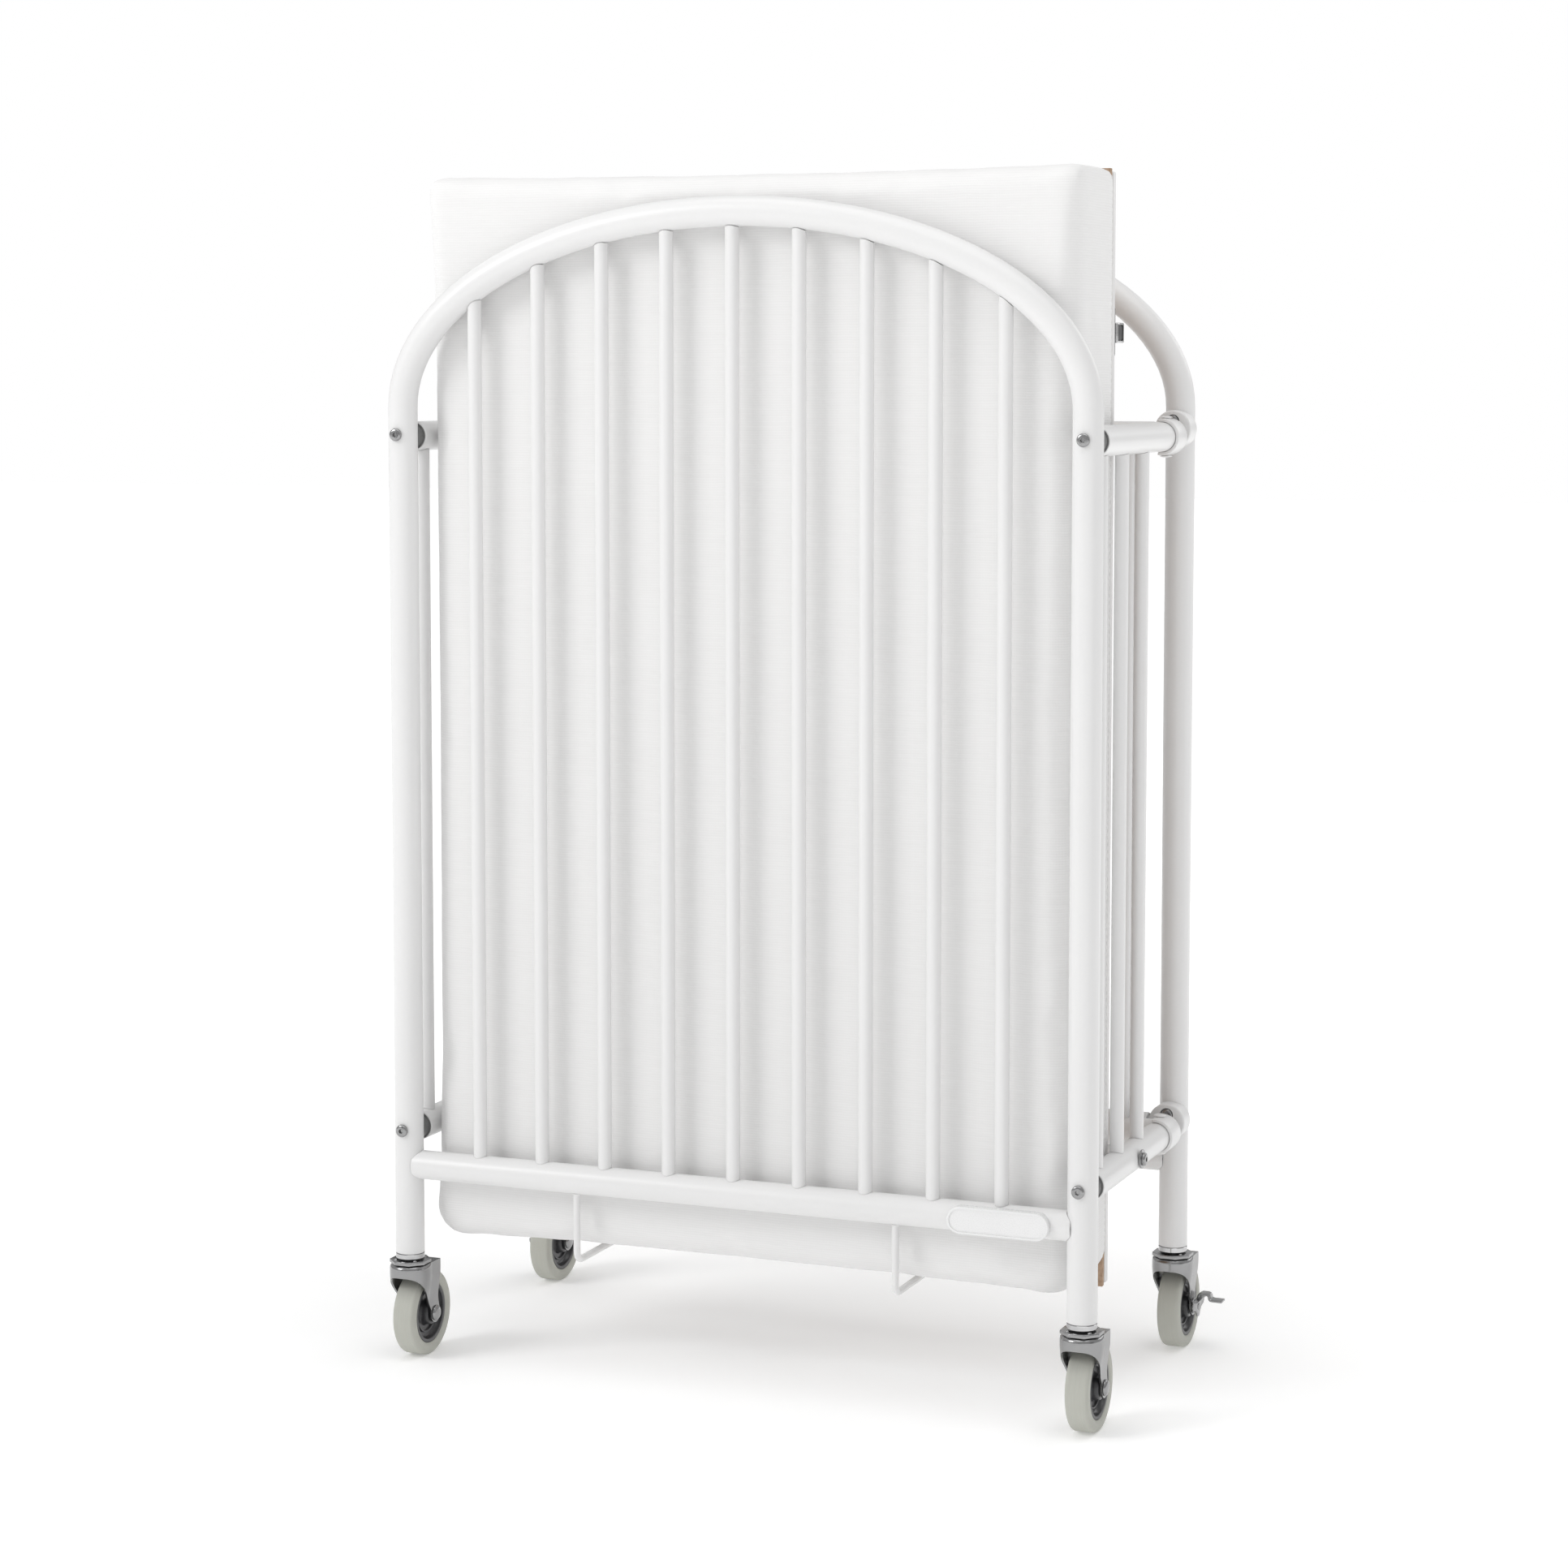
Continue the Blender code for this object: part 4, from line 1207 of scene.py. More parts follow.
def startPad():
    # full width where it lies on the board, smaller and rounded in front
    inset = mattressLook["inset"]
    wide = mattressLook["widest"]
    low = (padLow.x - wide, padLow.z + 0.5 * mm)
    high = (padHigh.x + wide, padHigh.z + mattressLook["taller"])
    outline = roundedOutline(low, high, padCorners, 8)
    front, back = padLow.y + inset, padHigh.y - 0.3 * mm
    middle = Vector(((low[0] + high[0]) / 2, (low[1] + high[1]) / 2))
    reachX, reachZ = high[0] - middle.x, high[1] - middle.y
    edge, chamfer = mattressLook["edge"], mattressLook["backChamfer"]
    depths = [(back, chamfer), (back - chamfer, 0.0), (front + edge, 0.0)]
    depths += [(front + edge * (1 - math.sin(a)), edge * (1 - math.cos(a)))
               for a in [math.radians(degrees) for degrees in (22, 45, 68, 90)]]
    rings = [[Vector((middle.x + (px - middle.x) * (1 - drawn / reachX), depth,
                      middle.y + (pz - middle.y) * (1 - drawn / reachZ))) for px, pz in outline]
             for depth, drawn in depths]
    count = len(outline)
    points = [point for ring in rings for point in ring]
    faces = [tuple(range(count)), tuple(reversed(range((len(rings) - 1) * count, len(rings) * count)))]
    for r in range(len(rings) - 1):
        for i in range(count):
            k = (i + 1) % count
            faces.append((r * count + k, r * count + i, (r + 1) * count + i, (r + 1) * count + k))
    return meshOf(points, faces)


clothLook = {                           # named as the simulation names them
    "quality": 4,
    "mass": 0.3,
    "use_pressure": True,
    "uniform_pressure_force": mattressLook["pressure"],
    "tension_stiffness": 12,
    "compression_stiffness": 12,
    "shear_stiffness": 4,
    "bending_stiffness": 2,
    "shrink_min": -mattressLook["slack"],
    "vertex_group_mass": "held",
}


def swollen(mesh):
    # the pad swells under pressure like foam in its cover, held to its place at the board
    thing = bpy.data.objects.new("pad", mesh)
    scene.collection.objects.link(thing)
    remesh = thing.modifiers.new("remesh", "REMESH")
    remesh.mode = "VOXEL"
    remesh.voxel_size = mattressLook["voxel"]
    graph = bpy.context.evaluated_depsgraph_get()
    fine = bpy.data.meshes.new_from_object(thing.evaluated_get(graph))
    thing.modifiers.clear()
    thing.data = fine
    count = len(fine.vertices)
    rest = np.zeros(count * 3, np.float32)
    fine.vertices.foreach_get("co", rest)
    rest = rest.reshape(-1, 3)
    moved = rest.copy()
    held = thing.vertex_groups.new(name="held")
    atBack = rest[:, 1] > padHigh.y - mattressLook["heldDepth"]
    held.add([int(i) for i in np.nonzero(atBack)[0]], 1.0, "REPLACE")
    cloth = thing.modifiers.new("cloth", "CLOTH")
    for key, value in clothLook.items():
        setattr(cloth.settings, key, value)
    cloth.settings.effector_weights.gravity = 0.0
    cloth.point_cache.frame_start = 1
    cloth.point_cache.frame_end = mattressLook["frames"]
    for step in range(1, mattressLook["frames"] + 1):
        scene.frame_set(step)
    graph = bpy.context.evaluated_depsgraph_get()
    result = thing.evaluated_get(graph).to_mesh()
    flat = np.zeros(count * 3, np.float32)
    result.vertices.foreach_get("co", flat)
    moved = flat.reshape(-1, 3)
    thing.evaluated_get(graph).to_mesh_clear()
    thing.modifiers.clear()
    scene.frame_set(1)
    travel = (moved - rest) * np.array(mattressLook["spread"], np.float32)
    far = np.maximum(np.linalg.norm(travel, axis=1, keepdims=True), 1e-9)
    cap = mattressLook["swell"]
    moved = rest + travel / far * cap * np.tanh(far / cap)
    roomLow, roomHigh = (np.array(room, np.float32) * mm for room in mattressLook["room"])
    moved = np.clip(moved, np.array(padLow, np.float32) + roomLow, np.array(padHigh, np.float32) + roomHigh)
    fine.vertices.foreach_set("co", moved.ravel().astype(np.float32))
    fine.update()
    bpy.data.objects.remove(thing, do_unlink=True)
    return shaped(fine, ("SMOOTH", {"factor": 0.5, "iterations": 1}),
                  ("SUBSURF", {"levels": 1, "render_levels": 1}))


padMesh = swollen(startPad())
pad = piece("padded_mattress", padMesh, cover, ["mattress"], sharp=0)
print("mattress made:", len(padMesh.polygons), "faces")


def seamLine(back, inset):
    # points round the narrow sides of the mattress, laid on its surface
    tree = BVHTree.FromPolygons([v.co.copy() for v in padMesh.vertices],
                                [tuple(p.vertices) for p in padMesh.polygons])
    outline = roundedOutline((padLow.x, padLow.z), (padHigh.x, padHigh.z), padCorners, 10)
    points = []
    for i, (x, z) in enumerate(outline):
        nextX, nextZ = outline[(i + 1) % len(outline)]
        span = math.hypot(nextX - x, nextZ - z)
        parts = max(1, int(span / (8 * mm)))
        for k in range(parts):
            t = k / parts
            spot, normal, _, _ = tree.find_nearest(Vector((x + (nextX - x) * t, back, z + (nextZ - z) * t)))
            points.append(spot + normal * inset)
    return points


def pipingMesh(points, radius, sides=8):
    # a thin welt along a closed line of points
    rings = []
    count = len(points)
    for i, point in enumerate(points):
        ahead = (points[(i + 1) % count] - points[i - 1]).normalized()
        side = ahead.cross(Vector((0, 1, 0))).normalized()
        up = side.cross(ahead)
        rings += [point + radius * (math.cos(angle) * side + math.sin(angle) * up)
                  for angle in [math.tau * k / sides for k in range(sides)]]
    return meshOf(rings, ringFaces(count, sides, True))


seamBack = padHigh.y - mattressLook["stitchInset"]
piece("mattress_seam_welt", pipingMesh(seamLine(seamBack, -0.3 * mm), mattressLook["weltRadius"]),
      cover, [], "platform", sharp=0)
stitchLine = seamLine(seamBack - mattressLook["stitchAhead"], 0.15 * mm)
stitchEdges = [(i, (i + 1) % len(stitchLine)) for i in range(len(stitchLine))]
stitchMesh = grown(stitchTree, {"Pitch": mattressLook["stitchPitch"], "Length": 3.6 * mm,
                                "Thickness": 0.45 * mm, "Finish": finishes[cover]},
                   pointCloud(stitchLine, stitchEdges))
piece("mattress_seam_stitches", stitchMesh, cover, [], "platform")

boardLook = {
    "inset": 3.2 * mm,                  # the panel's long edges stay behind the cover
    "edge": 0.6 * mm,
    "bar": 25.0 * mm,
    "barEdge": 1.6 * mm,
    "screwsEachSide": 4,
    "screwInset": 12.5 * mm,
}
boardLow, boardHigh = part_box("mattress_board")
boardInset = Vector((boardLook["inset"], 0, 0))
piece("fibreboard_panel", block(boardLow + boardInset, boardHigh - boardInset, boardLook["edge"], 2),
      "fibreboard", ["mattress_board"])


def boardFrame():
    # side bars, end bars and a middle bar, welded flush
    low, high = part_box("board_frame")
    bar = boardLook["bar"]
    middle = (low.z + high.z) / 2
    windows = [block(Vector((low.x + bar, low.y - 3 * mm, bottom)),
                     Vector((high.x - bar, high.y + 3 * mm, top)))
               for bottom, top in ((low.z + bar, middle - bar / 2), (middle + bar / 2, high.z - bar))]
    frame = cutOut(block(low, high), *windows)
    bm = bmesh.new()
    bm.from_mesh(frame)
    bmesh.ops.remove_doubles(bm, verts=bm.verts[:], dist=0.000002)
    bmesh.ops.dissolve_limit(bm, angle_limit=0.01, verts=bm.verts[:], edges=bm.edges[:])
    rims = [e for e in bm.edges if e.calc_face_angle(0) > 0.5]
    bmesh.ops.bevel(bm, geom=rims, offset=boardLook["barEdge"], segments=3, profile=0.5, affect="EDGES")
    piece("board_steel_frame", meshFrom(bm), white, ["board_frame"])
    inset, count, third = boardLook["screwInset"], boardLook["screwsEachSide"], (high.x - low.x) / 3
    rows = [low.z + inset + (high.z - low.z - 2 * inset) * (i + 0.5) / count for i in range(count)]
    spots = [Vector((x, high.y - 0.1 * mm, z)) for x in (low.x + inset, high.x - inset) for z in rows]
    spots += [Vector((x, high.y - 0.1 * mm, z)) for x in (low.x + third, high.x - third)
              for z in (low.z + inset, middle, high.z - inset)]
    fasteners("board_frame_screws", buttonShape, spots, (0, 1, 0), zinc, [], "platform", 0.62, 11)


boardFrame()

latchLook = {
    "plateEdge": 0.5 * mm,
    "plateCorner": 4.0 * mm,
    "frameEdge": 1.3 * mm,
    "shortened": 2.8 * mm,              # the sliding frame stops this far inside its solid's end
    "wall": 1.9 * mm,
    "pocket": 3.2 * mm,
}


def latch():
    low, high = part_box("latch_plate")
    upright = Matrix.Rotation(math.pi / 2, 4, "X")
    outline = roundedOutline((low.x, low.z), (high.x, high.z), (latchLook["plateCorner"],) * 4)
    piece("latch_keeper", plate(outline, -high.y, -low.y, upright, latchLook["plateEdge"], 2), zinc,
          ["latch_plate"])
    middle = (low.x + high.x) / 2
    spots = [Vector((middle, high.y - 0.1 * mm, z)) for z in (low.z + 6.0 * mm, high.z - 6.0 * mm)]
    fasteners("latch_keeper_screws", buttonShape, spots, (0, 1, 0), zinc, [], "platform", 0.6, 4)
    low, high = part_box("latch_bolt")
    high.x -= latchLook["shortened"]
    wall, deep = latchLook["wall"], latchLook["pocket"]
    body = block(low, high, latchLook["frameEdge"], 4)
    inside = block(Vector((high.x - deep, low.y + wall, low.z + wall)),
                   Vector((high.x + 4 * mm, high.y - wall * 1.6, high.z - wall)), 1.2 * mm)
    piece("latch_slide_frame", cutOut(body, inside), chrome, ["latch_bolt"])
    ends = roundedOutline((low.y + wall + 0.4 * mm, low.z + wall + 0.4 * mm),
                          (high.y - wall * 1.6 - 0.4 * mm, high.z - wall - 0.4 * mm), (2.4 * mm,) * 4)
    sideways = Matrix(((0, 0, 1, 0), (1, 0, 0, 0), (0, 1, 0, 0), (0, 0, 0, 1)))
    insert = plate(ends, high.x - deep - 0.2 * mm, high.x - 0.7 * mm, sideways, 0.9 * mm, 3)
    piece("latch_thumb_insert", insert, darkPlastic, [], "latch", insertFinish)


latch()
print("board and latch made")


# Casters

wheelLook = {
    "radius": 37.5 * mm,
    "sides": 96,
    "tread": 7.2 * mm,
    "shoulder": 3.4 * mm,
    "forkWall": 1.7 * mm,
    "forkCap": 18.3 * mm,
    "archTop": 76.0 * mm,
    "archPower": 0.7,
    "sideFlat": 5.7 * mm,               # how far behind the stem the fork's plain sides begin
    "armFoot": 41.5 * mm,               # where the opening's edge meets the arms
    "rearReach": 24.0 * mm,
    "eye": 8.6 * mm,
    "flangeFlat": 17.0 * mm,
}


def stemPieces(prefix, x, y, body, node):
    # a plated collar at the leg's foot, a dark neck, and an eight-sided swivel plate with four rivets
    low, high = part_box(node)
    place = Matrix.Translation((x, y, 0))
    foot = high.z
    profile = [(0.0, foot), (tubeRadius - 0.3 * mm, foot), (tubeRadius, foot - 0.3 * mm),
               (tubeRadius, foot - 4.0 * mm), (tubeRadius - 0.5 * mm, foot - 4.4 * mm),
               (0.0, foot - 4.4 * mm)]
    piece(prefix + "_collar", turned(profile, place, 64), chrome, [node])
    neckTop, neckRadius, plateTop = foot - 4.0 * mm, 9.6 * mm, 90.2 * mm
    neck = turned([(0.0, neckTop), (neckRadius, neckTop), (neckRadius, 89.6 * mm), (0.0, 89.6 * mm)],
                  place, 40)
    piece(prefix + "_neck_seal", neck, darkPlastic, [], body)
    toCorner = wheelLook["flangeFlat"] / math.cos(math.pi / 8)
    corners = [(toCorner * math.cos(a), toCorner * math.sin(a))
               for a in [math.pi / 8 + i * math.pi / 4 for i in range(8)]]
    flange = plate(corners, 87.0 * mm, plateTop, place, 0.6 * mm, 3)
    dimple = turned([inMm(0.0, 1.1), inMm(1.0, 0.95), inMm(1.7, 0.35), inMm(1.9, -0.3), inMm(0.0, -0.3)],
                    Matrix.Translation((13.2 * mm, 0, plateTop)), 20)
    rivets = grown(ringTree, {"Shape": template(prefix + "RivetShape", dimple), "Count": 4,
                              "Finish": finishes[zinc]})
    rivets.transform(place @ Matrix.Rotation(math.pi / 4, 4, "Z"))
    pin = turned([inMm(0.0, 88.0), inMm(5.0, 88.0), inMm(5.0, 74.6), (4.2 * mm, low.z), (0.0, low.z)],
                 place, 32)
    piece(prefix + "_swivel_plate", together([flange, rivets, pin]), zinc, [], body)


def forkMesh(x, y, axleY, axleZ):
    # a stamped shell: a flat top, a skirt round the front with an arched opening, and an arm to each side
    cap, eye, rearReach = wheelLook["forkCap"], wheelLook["eye"], wheelLook["rearReach"]
    opening, armFoot, sideFlat = wheelLook["archTop"], wheelLook["armFoot"], wheelLook["sideFlat"]
    trail = axleY - y
    top, rim = 86.4 * mm, 83.0 * mm
    columns = 22

    def share(value):
        return min(1.0, max(0.0, value))

    def halfWidth(z):
        t = share((78 * mm - z) / (34 * mm))
        return cap + (14.0 * mm - cap) * t * t * (3 - 2 * t)

    def frontEdge(z):
        if z >= opening:
            return -cap
        if z < axleZ:
            return trail - math.sqrt(max(0.0, eye ** 2 - (axleZ - z) ** 2))
        t = min(1.0, (opening - z) / (opening - armFoot))
        return -cap + (trail - eye + cap) * t ** wheelLook["archPower"]

    def rearEdge(z):
        if z < axleZ:
            return trail + math.sqrt(max(0.0, eye ** 2 - (axleZ - z) ** 2))
        t = share((60 * mm - z) / (60 * mm - axleZ))
        return rearReach + (trail + eye - rearReach) * t * t

    def section(z):
        front, rear, wide = frontEdge(z), rearEdge(z), halfWidth(z)
        half = []
        for c in range(columns + 1):
            back = front + (rear - front) * (1 - math.cos(math.pi / 2 * c / columns))
            across = wide * math.sqrt(max(0.0, 1 - (min(0.0, back) / cap) ** 2))
            step = share((back - sideFlat) / (0.7 * mm)) * share((z - 46 * mm) / (22 * mm))
            half.append((across - 1.1 * mm * step, back))
        return half

    levels = [rim, 81 * mm, 79 * mm, 77.5 * mm]
    levels += [opening - (opening - armFoot) * (i / 22) ** 1.8 for i in range(23)]
    levels += [39.5 * mm, axleZ] + [axleZ - eye * math.sin(math.radians(a)) for a in (15, 30, 45, 60, 75, 88)]
    points, faces = [], []
    row = columns + 1
    for side in (1, -1):
        base = len(points)
        for z in levels:
            points += [(x + side * across, y + back, z) for across, back in section(z)]
        corners = [base + r * row + c for r in range(len(levels) - 1) for c in range(columns)]
        faces += [(a, a + 1, a + row + 1, a + row) for a in corners]
    crown = section(rim)
    loop = crown + [(-across, back) for across, back in reversed(crown[1:])]
    drop = top - rim
    rings = [(0.0, 0.0, rim)]
    rings += [(drop * (1 - math.cos(a)), 0.0, rim + drop * math.sin(a))
              for a in [math.radians(degrees) for degrees in (20, 40, 60, 75, 90)]]
    rings.append((0.0, 0.45, top))
    middle = 3.0 * mm                   # the flat top narrows towards a spot this far behind the stem
    base = len(points)
    for inset, drawn, z in rings:
        for across, back in loop:
            soft = 1 - share((back - 2 * mm) / (sideFlat - 2 * mm))
            keep = (1 - drawn) * (1 - inset * soft / math.hypot(across, back)) - (0.12 if drawn else 0.0)
            points.append((x + across * keep, y + middle * (1 - keep if drawn else 0.0) + back * keep, z))
    faces += ringFaces(len(rings), len(loop), False, base)
    faces.append(tuple(base + (len(rings) - 1) * len(loop) + i for i in range(len(loop))))
    bm = bmesh.new()
    bm.from_mesh(meshOf(points, faces))
    bm.normal_update()
    if max(bm.faces, key=lambda face: face.calc_center_median().z).normal.z < 0:
        bmesh.ops.reverse_faces(bm, faces=bm.faces[:])
    return shaped(meshFrom(bm), ("SOLIDIFY", {"thickness": wheelLook["forkWall"], "offset": -1.0,
                                              "use_even_offset": True}))


def axleMesh(place):
    head, reach, seat = 6.8 * mm, 17.0 * mm, 14.3 * mm
    half = [(0.0, reach), (3.2 * mm, reach - 0.12 * mm), (5.2 * mm, reach - 0.6 * mm),
            (6.3 * mm, reach - 1.4 * mm), (head, seat + 0.5 * mm), (head, seat), (4.0 * mm, seat)]
    return turned(mirrored(half), place, 40)


def closedRing(half, place):
    profile = mirrored(half)
    return turned(profile + profile[:1], place, wheelLook["sides"])


def tyreMesh(place):
    outer, inner, half = wheelLook["radius"], 27.2 * mm, 10.2 * mm
    tread, shoulder = wheelLook["tread"], wheelLook["shoulder"] * 1.1
    side = [(inner, 9.0 * mm), (inner + 0.8 * mm, 9.6 * mm), (30.0 * mm, half), (32.6 * mm, half)]
    side += [(outer - shoulder * (1 - math.sin(a)), tread + (half - tread) * math.cos(a))
             for a in [math.radians(degrees) for degrees in (15, 35, 55, 75)]]
    side += [(outer, tread - 0.6 * mm), (outer, 2.0 * mm)]
    return closedRing(side, place)


def hubPieces(prefix, place, node, body):
    # a boss, a dished web with one raised ring, and the grey rim that holds the tyre
    bore, boss, rim = 4.4 * mm, 10.5 * mm, 26.9 * mm
    half = [(bore, 11.0), (boss - 1.0 * mm, 11.0), (boss - 0.4 * mm, 10.7), (boss, 10.1),
            (boss + 0.5 * mm, 7.0), (boss + 1.0 * mm, 4.6), (boss + 2.0 * mm, 3.6), (15.6 * mm, 3.3),
            (16.6 * mm, 3.5), (16.9 * mm, 5.2), (17.3 * mm, 5.5), (17.9 * mm, 5.5), (18.2 * mm, 5.2),
            (18.5 * mm, 3.5), (rim - 5.6 * mm, 3.6), (rim - 4.4 * mm, 4.6), (rim - 3.4 * mm, 8.4)]
    disc = closedRing([(radius, height * mm) for radius, height in half], place)
    piece(prefix + "_hub_disc", disc, darkPlastic, [node])
    edge = [(rim - 3.2 * mm, 8.5 * mm), (rim - 2.6 * mm, 9.15 * mm), (rim - 1.9 * mm, 9.2 * mm),
            (rim - 0.5 * mm, 9.2 * mm), (rim, 8.8 * mm)]
    piece(prefix + "_hub_rim", closedRing(edge, place), darkPlastic, [], body, rimFinish)


leverLook = {
    "sheet": 1.6 * mm,
    "lobeReach": 9.2 * mm,
    "earReach": 19.0 * mm,
    "tabHalf": 6.0 * mm,
}


def leverMesh(node, side):
    # a lobed plate on the axle's end, a ledge along its top, and a bridge that runs out to a flat tab
    low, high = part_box(node)
    axleY, axleZ = (low.y + high.y) / 2, low.z + leverLook["lobeReach"]
    inner, outer = (low.x, high.x) if side > 0 else (high.x, low.x)
    sheet = leverLook["sheet"]
    sideways = Matrix(((0, 0, side, 0), (1, 0, 0, 0), (0, 1, 0, 0), (0, 0, 0, 1)))
    reach = leverLook["earReach"]

    def curve(radiusY, radiusZ, startY, startZ, angles):
        return [(startY + radiusY * mm * math.cos(a), axleZ + startZ * mm + radiusZ * mm * math.sin(a))
                for a in [math.radians(degrees) for degrees in angles]]

    right = [(reach - 2.2 * mm, axleZ + 7.0 * mm)]
    right += curve(4.5, 4.0, reach - 4.5 * mm, 2.6, (45, 15, -15, -50, -80))
    right += [(9.0 * mm, axleZ - 2.6 * mm), (6.6 * mm, axleZ - 4.6 * mm)]
    right += curve(5.0, 5.0, 0.0, -4.6, (-15, -40, -65, -90))
    outline = [(axleY + py, pz) for py, pz in right] + [(axleY - py, pz) for py, pz in reversed(right[:-1])]
    shift = Matrix.Translation((inner, 0, 0))
    parts = [plate(outline, 0.0, sheet, shift @ sideways, 0.45 * mm, 2)]
    ledge = roundedOutline((0.0, axleY - reach + 1.5 * mm), (5.2 * mm, axleY + reach - 1.5 * mm),
                           inMm(0.6, 2.2, 2.2, 0.6))
    flip = Matrix.Translation((inner, 0, 0)) @ Matrix.Diagonal((side, 1, 1, 1))
    parts.append(plate(ledge, axleZ + 6.2 * mm, axleZ + 7.6 * mm, flip, 0.4 * mm, 2))
    route = [(0.8, 6.9), (1.6, 7.4), (2.0, 9.6), (2.6, 11.2), (4.2, 12.0), (9.4, 12.0), (11.2, 11.4),
             (12.0, 9.8), (12.4, 8.0), (13.4, 7.0), (15.0, 6.8), (abs(outer - inner) / mm - 0.8, 6.6)]
    upper, lower = [], []
    for i, (px, pz) in enumerate(route):
        ahead = Vector(route[min(i + 1, len(route) - 1)]) - Vector(route[max(i - 1, 0)])
        across = Vector((-ahead.y, ahead.x)).normalized() * (sheet / mm / 2)
        upper.append((px + across.x, pz + across.y))
        lower.append((px - across.x, pz - across.y))
    profile = [(px * mm, axleZ + pz * mm) for px, pz in upper + lower[::-1]]
    upright = Matrix(((side, 0, 0, inner), (0, 0, 1, 0), (0, 1, 0, 0), (0, 0, 0, 1)))
    tab = leverLook["tabHalf"]
    parts.append(plate(profile, axleY - tab, axleY + tab, upright, 0.35 * mm, 2))
    parts.append(turned([inMm(0.0, 2.6), inMm(2.4, 2.5), inMm(3.6, 1.9), inMm(3.8, 1.0), inMm(0.0, 1.0)],
                        facing(inner, axleY, axleZ, (side, 0, 0)), 24))
    solid = []                          # the left lever's parts are reflected, so all are turned outwards
    for part in parts:
        bm = bmesh.new()
        bm.from_mesh(part)
        bmesh.ops.recalc_face_normals(bm, faces=bm.faces[:])
        solid.append(meshFrom(bm))
    return together(solid)


def caster(prefix, braked):
    stem, hub, lever = prefix + "_stem", prefix + "_hub", prefix + "_brake_lever"
    low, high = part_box(stem)
    x, y = (low.x + high.x) / 2, (low.y + high.y) / 2
    tyreLow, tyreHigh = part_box(prefix + "_tyre")
    axleY, axleZ = (tyreLow.y + tyreHigh.y) / 2, wheelLook["radius"]
    place = facing(x, axleY, axleZ, (1, 0, 0))
    stemPieces(prefix, x, y, nodes[stem]["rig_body"], stem)
    piece(prefix + "_fork_shell", forkMesh(x, y, axleY, axleZ), zinc, [prefix + "_fork"])
    piece(prefix + "_axle_bolt", axleMesh(place), zinc, [prefix + "_axle"])
    hubPieces(prefix, place, hub, nodes[hub]["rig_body"])
    piece(prefix + "_tyre_ring", tyreMesh(place), "grey_tyre", [prefix + "_tyre"])
    if braked:
        piece(prefix + "_brake_pedal", leverMesh(lever, 1 if x > 0 else -1), zinc, [lever])


for end in ("front", "rear"):
    for side in ("left", "right"):
        caster(end + "_" + side, end == "rear")
for thing in templates:
    bpy.data.objects.remove(thing, do_unlink=True)
print("casters made")


# Floor, camera and light

stageLook = {
    "floorSize": 40.0,
    "glow": (0.19, 0.60),               # painted light: how much the floor glows near the cot and far from it, dimmer near the cot so that its shadows show
    "glowCentre": (-0.35, -0.40, 0.0),
    "glowReach": (0.5, 2.4),
    "world": 0.56,
    "key": (Vector((-3.1, -3.3, 3.1)), 1.9, 78.0),
    "top": (Vector((0.3, -0.5, 3.6)), 2.8, 36.0),
    "rear": (Vector((1.8, 2.8, 2.2)), 1.6, 12.0),
}


def floorWithPaintedGlow(graph, where):
    cloud = graph.noise(where, 1.5, 2.0)
    radius = graph.add("ShaderNodeVectorMath", {"operation": "DISTANCE"},
                       {0: where, 1: stageLook["glowCentre"]}, "Value")
    near, far = stageLook["glowReach"]
    share = ((radius - near) * (1.0 / (far - near))).most(0.0).least(1.0)
    return {
        "Base Color": graph.blendColour(cloud, grey(0.90), grey(0.92)),
        "Roughness": 0.75 + cloud * 0.1,
        # painted light: the floor glows, less near the cot and more far from it
        "Emission Color": graph.blendColour(share, grey(stageLook["glow"][0]), grey(stageLook["glow"][1])),
    }


floorFinish = makeFinish("studioFloorPaintedGlow", {"Emission Strength": 1.0, "Specular IOR Level": 0.2}, floorWithPaintedGlow)
half = stageLook["floorSize"] / 2
floorMesh = meshOf([(-half, -half, 0), (half, -half, 0), (half, half, 0), (-half, half, 0)], [(0, 1, 2, 3)])
floor = bpy.data.objects.new("studio_floor", floorMesh)
floorMesh.materials.append(floorFinish)
scene.collection.objects.link(floor)


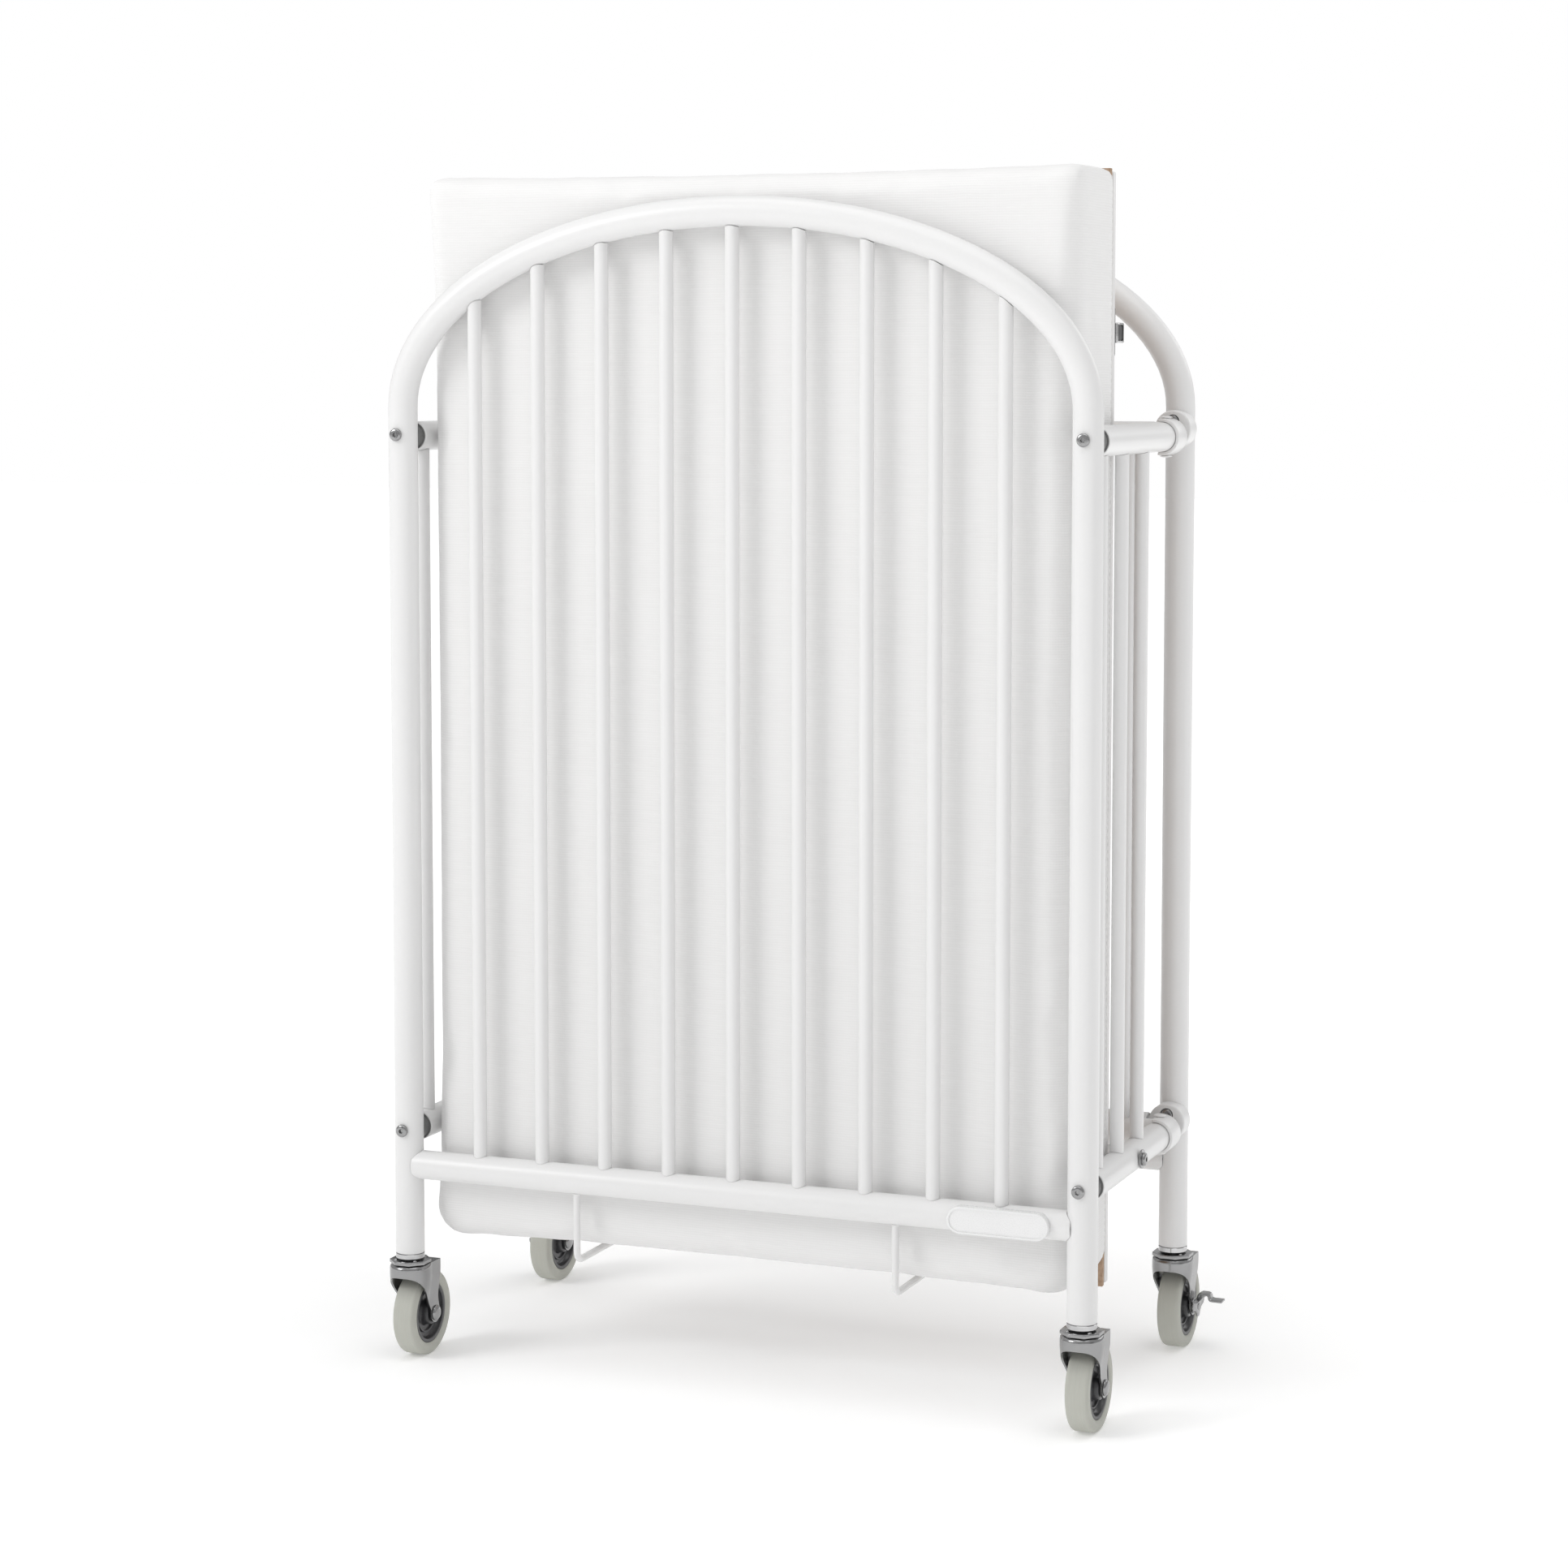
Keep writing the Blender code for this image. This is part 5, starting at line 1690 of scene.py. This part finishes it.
def softbox(name, place, size, power, aim=Vector((0, 0, 0.5))):
    light = bpy.data.lights.new(name, "AREA")
    light.shape = "SQUARE"
    light.size = size
    light.energy = power
    thing = bpy.data.objects.new(name, light)
    thing.location = place
    thing.rotation_euler = (aim - place).to_track_quat("-Z", "Y").to_euler()
    scene.collection.objects.link(thing)


for name in ("key", "top", "rear"):
    softbox(name + "Softbox", *stageLook[name])


flagLook = {                            # x, y, width and height
    "left": (-1.1, -2.6, 0.35, 0.9),
    "right": (2.3, -0.9, 0.6, 0.9),
    "middle": (0.35, -3.2, 0.2, 0.8),
    "rear": (-1.6, 2.4, 0.6, 0.9),
}


def blackFlag(name, x, y, width, height):
    # a dark card that only shows as a reflection in the plated metal
    half = width / 2
    mesh = meshOf([(-half, 0, 0), (half, 0, 0), (half, 0, height), (-half, 0, height)], [(0, 1, 2, 3)])
    card = bpy.data.objects.new(name, mesh)
    mesh.materials.append(insertFinish)
    card.location = (x, y, 0.02)
    card.rotation_euler = (0, 0, math.atan2(-x, y))
    card.visible_camera = False
    card.visible_diffuse = False
    card.visible_shadow = False
    scene.collection.objects.link(card)


for flag, size in flagLook.items():
    blackFlag(flag + "Flag", *size)

world = bpy.data.worlds.new("studioWorld")
scene.world = world
world.use_nodes = True
sky = Graph(world.node_tree)
world.node_tree.nodes.clear()
seen = sky.add("ShaderNodeLightPath", None, None, "Is Camera Ray")
level = seen * (1.0 - stageLook["world"]) + stageLook["world"]
glow = sky.add("ShaderNodeBackground", None, {"Color": (1.0, 1.0, 1.0, 1.0), "Strength": level})
output = world.node_tree.nodes.new("ShaderNodeOutputWorld")
world.node_tree.links.new(glow.socket, output.inputs["Surface"])

cameraLook = {
    "place": Vector((1.13657, -2.8670, 0.87606)),
    "pitch": 4.734,
    "yaw": 21.918,
    "lens": 80.54,
    "shift": -0.08,
}
cameraData = bpy.data.cameras.new("studioCamera")
cameraData.lens = cameraLook["lens"]
cameraData.sensor_width = 36.0
cameraData.shift_y = cameraLook["shift"]
camera = bpy.data.objects.new("studioCamera", cameraData)
camera.location = cameraLook["place"]
camera.rotation_euler = (math.radians(90 - cameraLook["pitch"]), 0.0, math.radians(cameraLook["yaw"]))
scene.collection.objects.link(camera)
scene.camera = camera
scene.view_settings.view_transform = "Standard"
print("stage set")
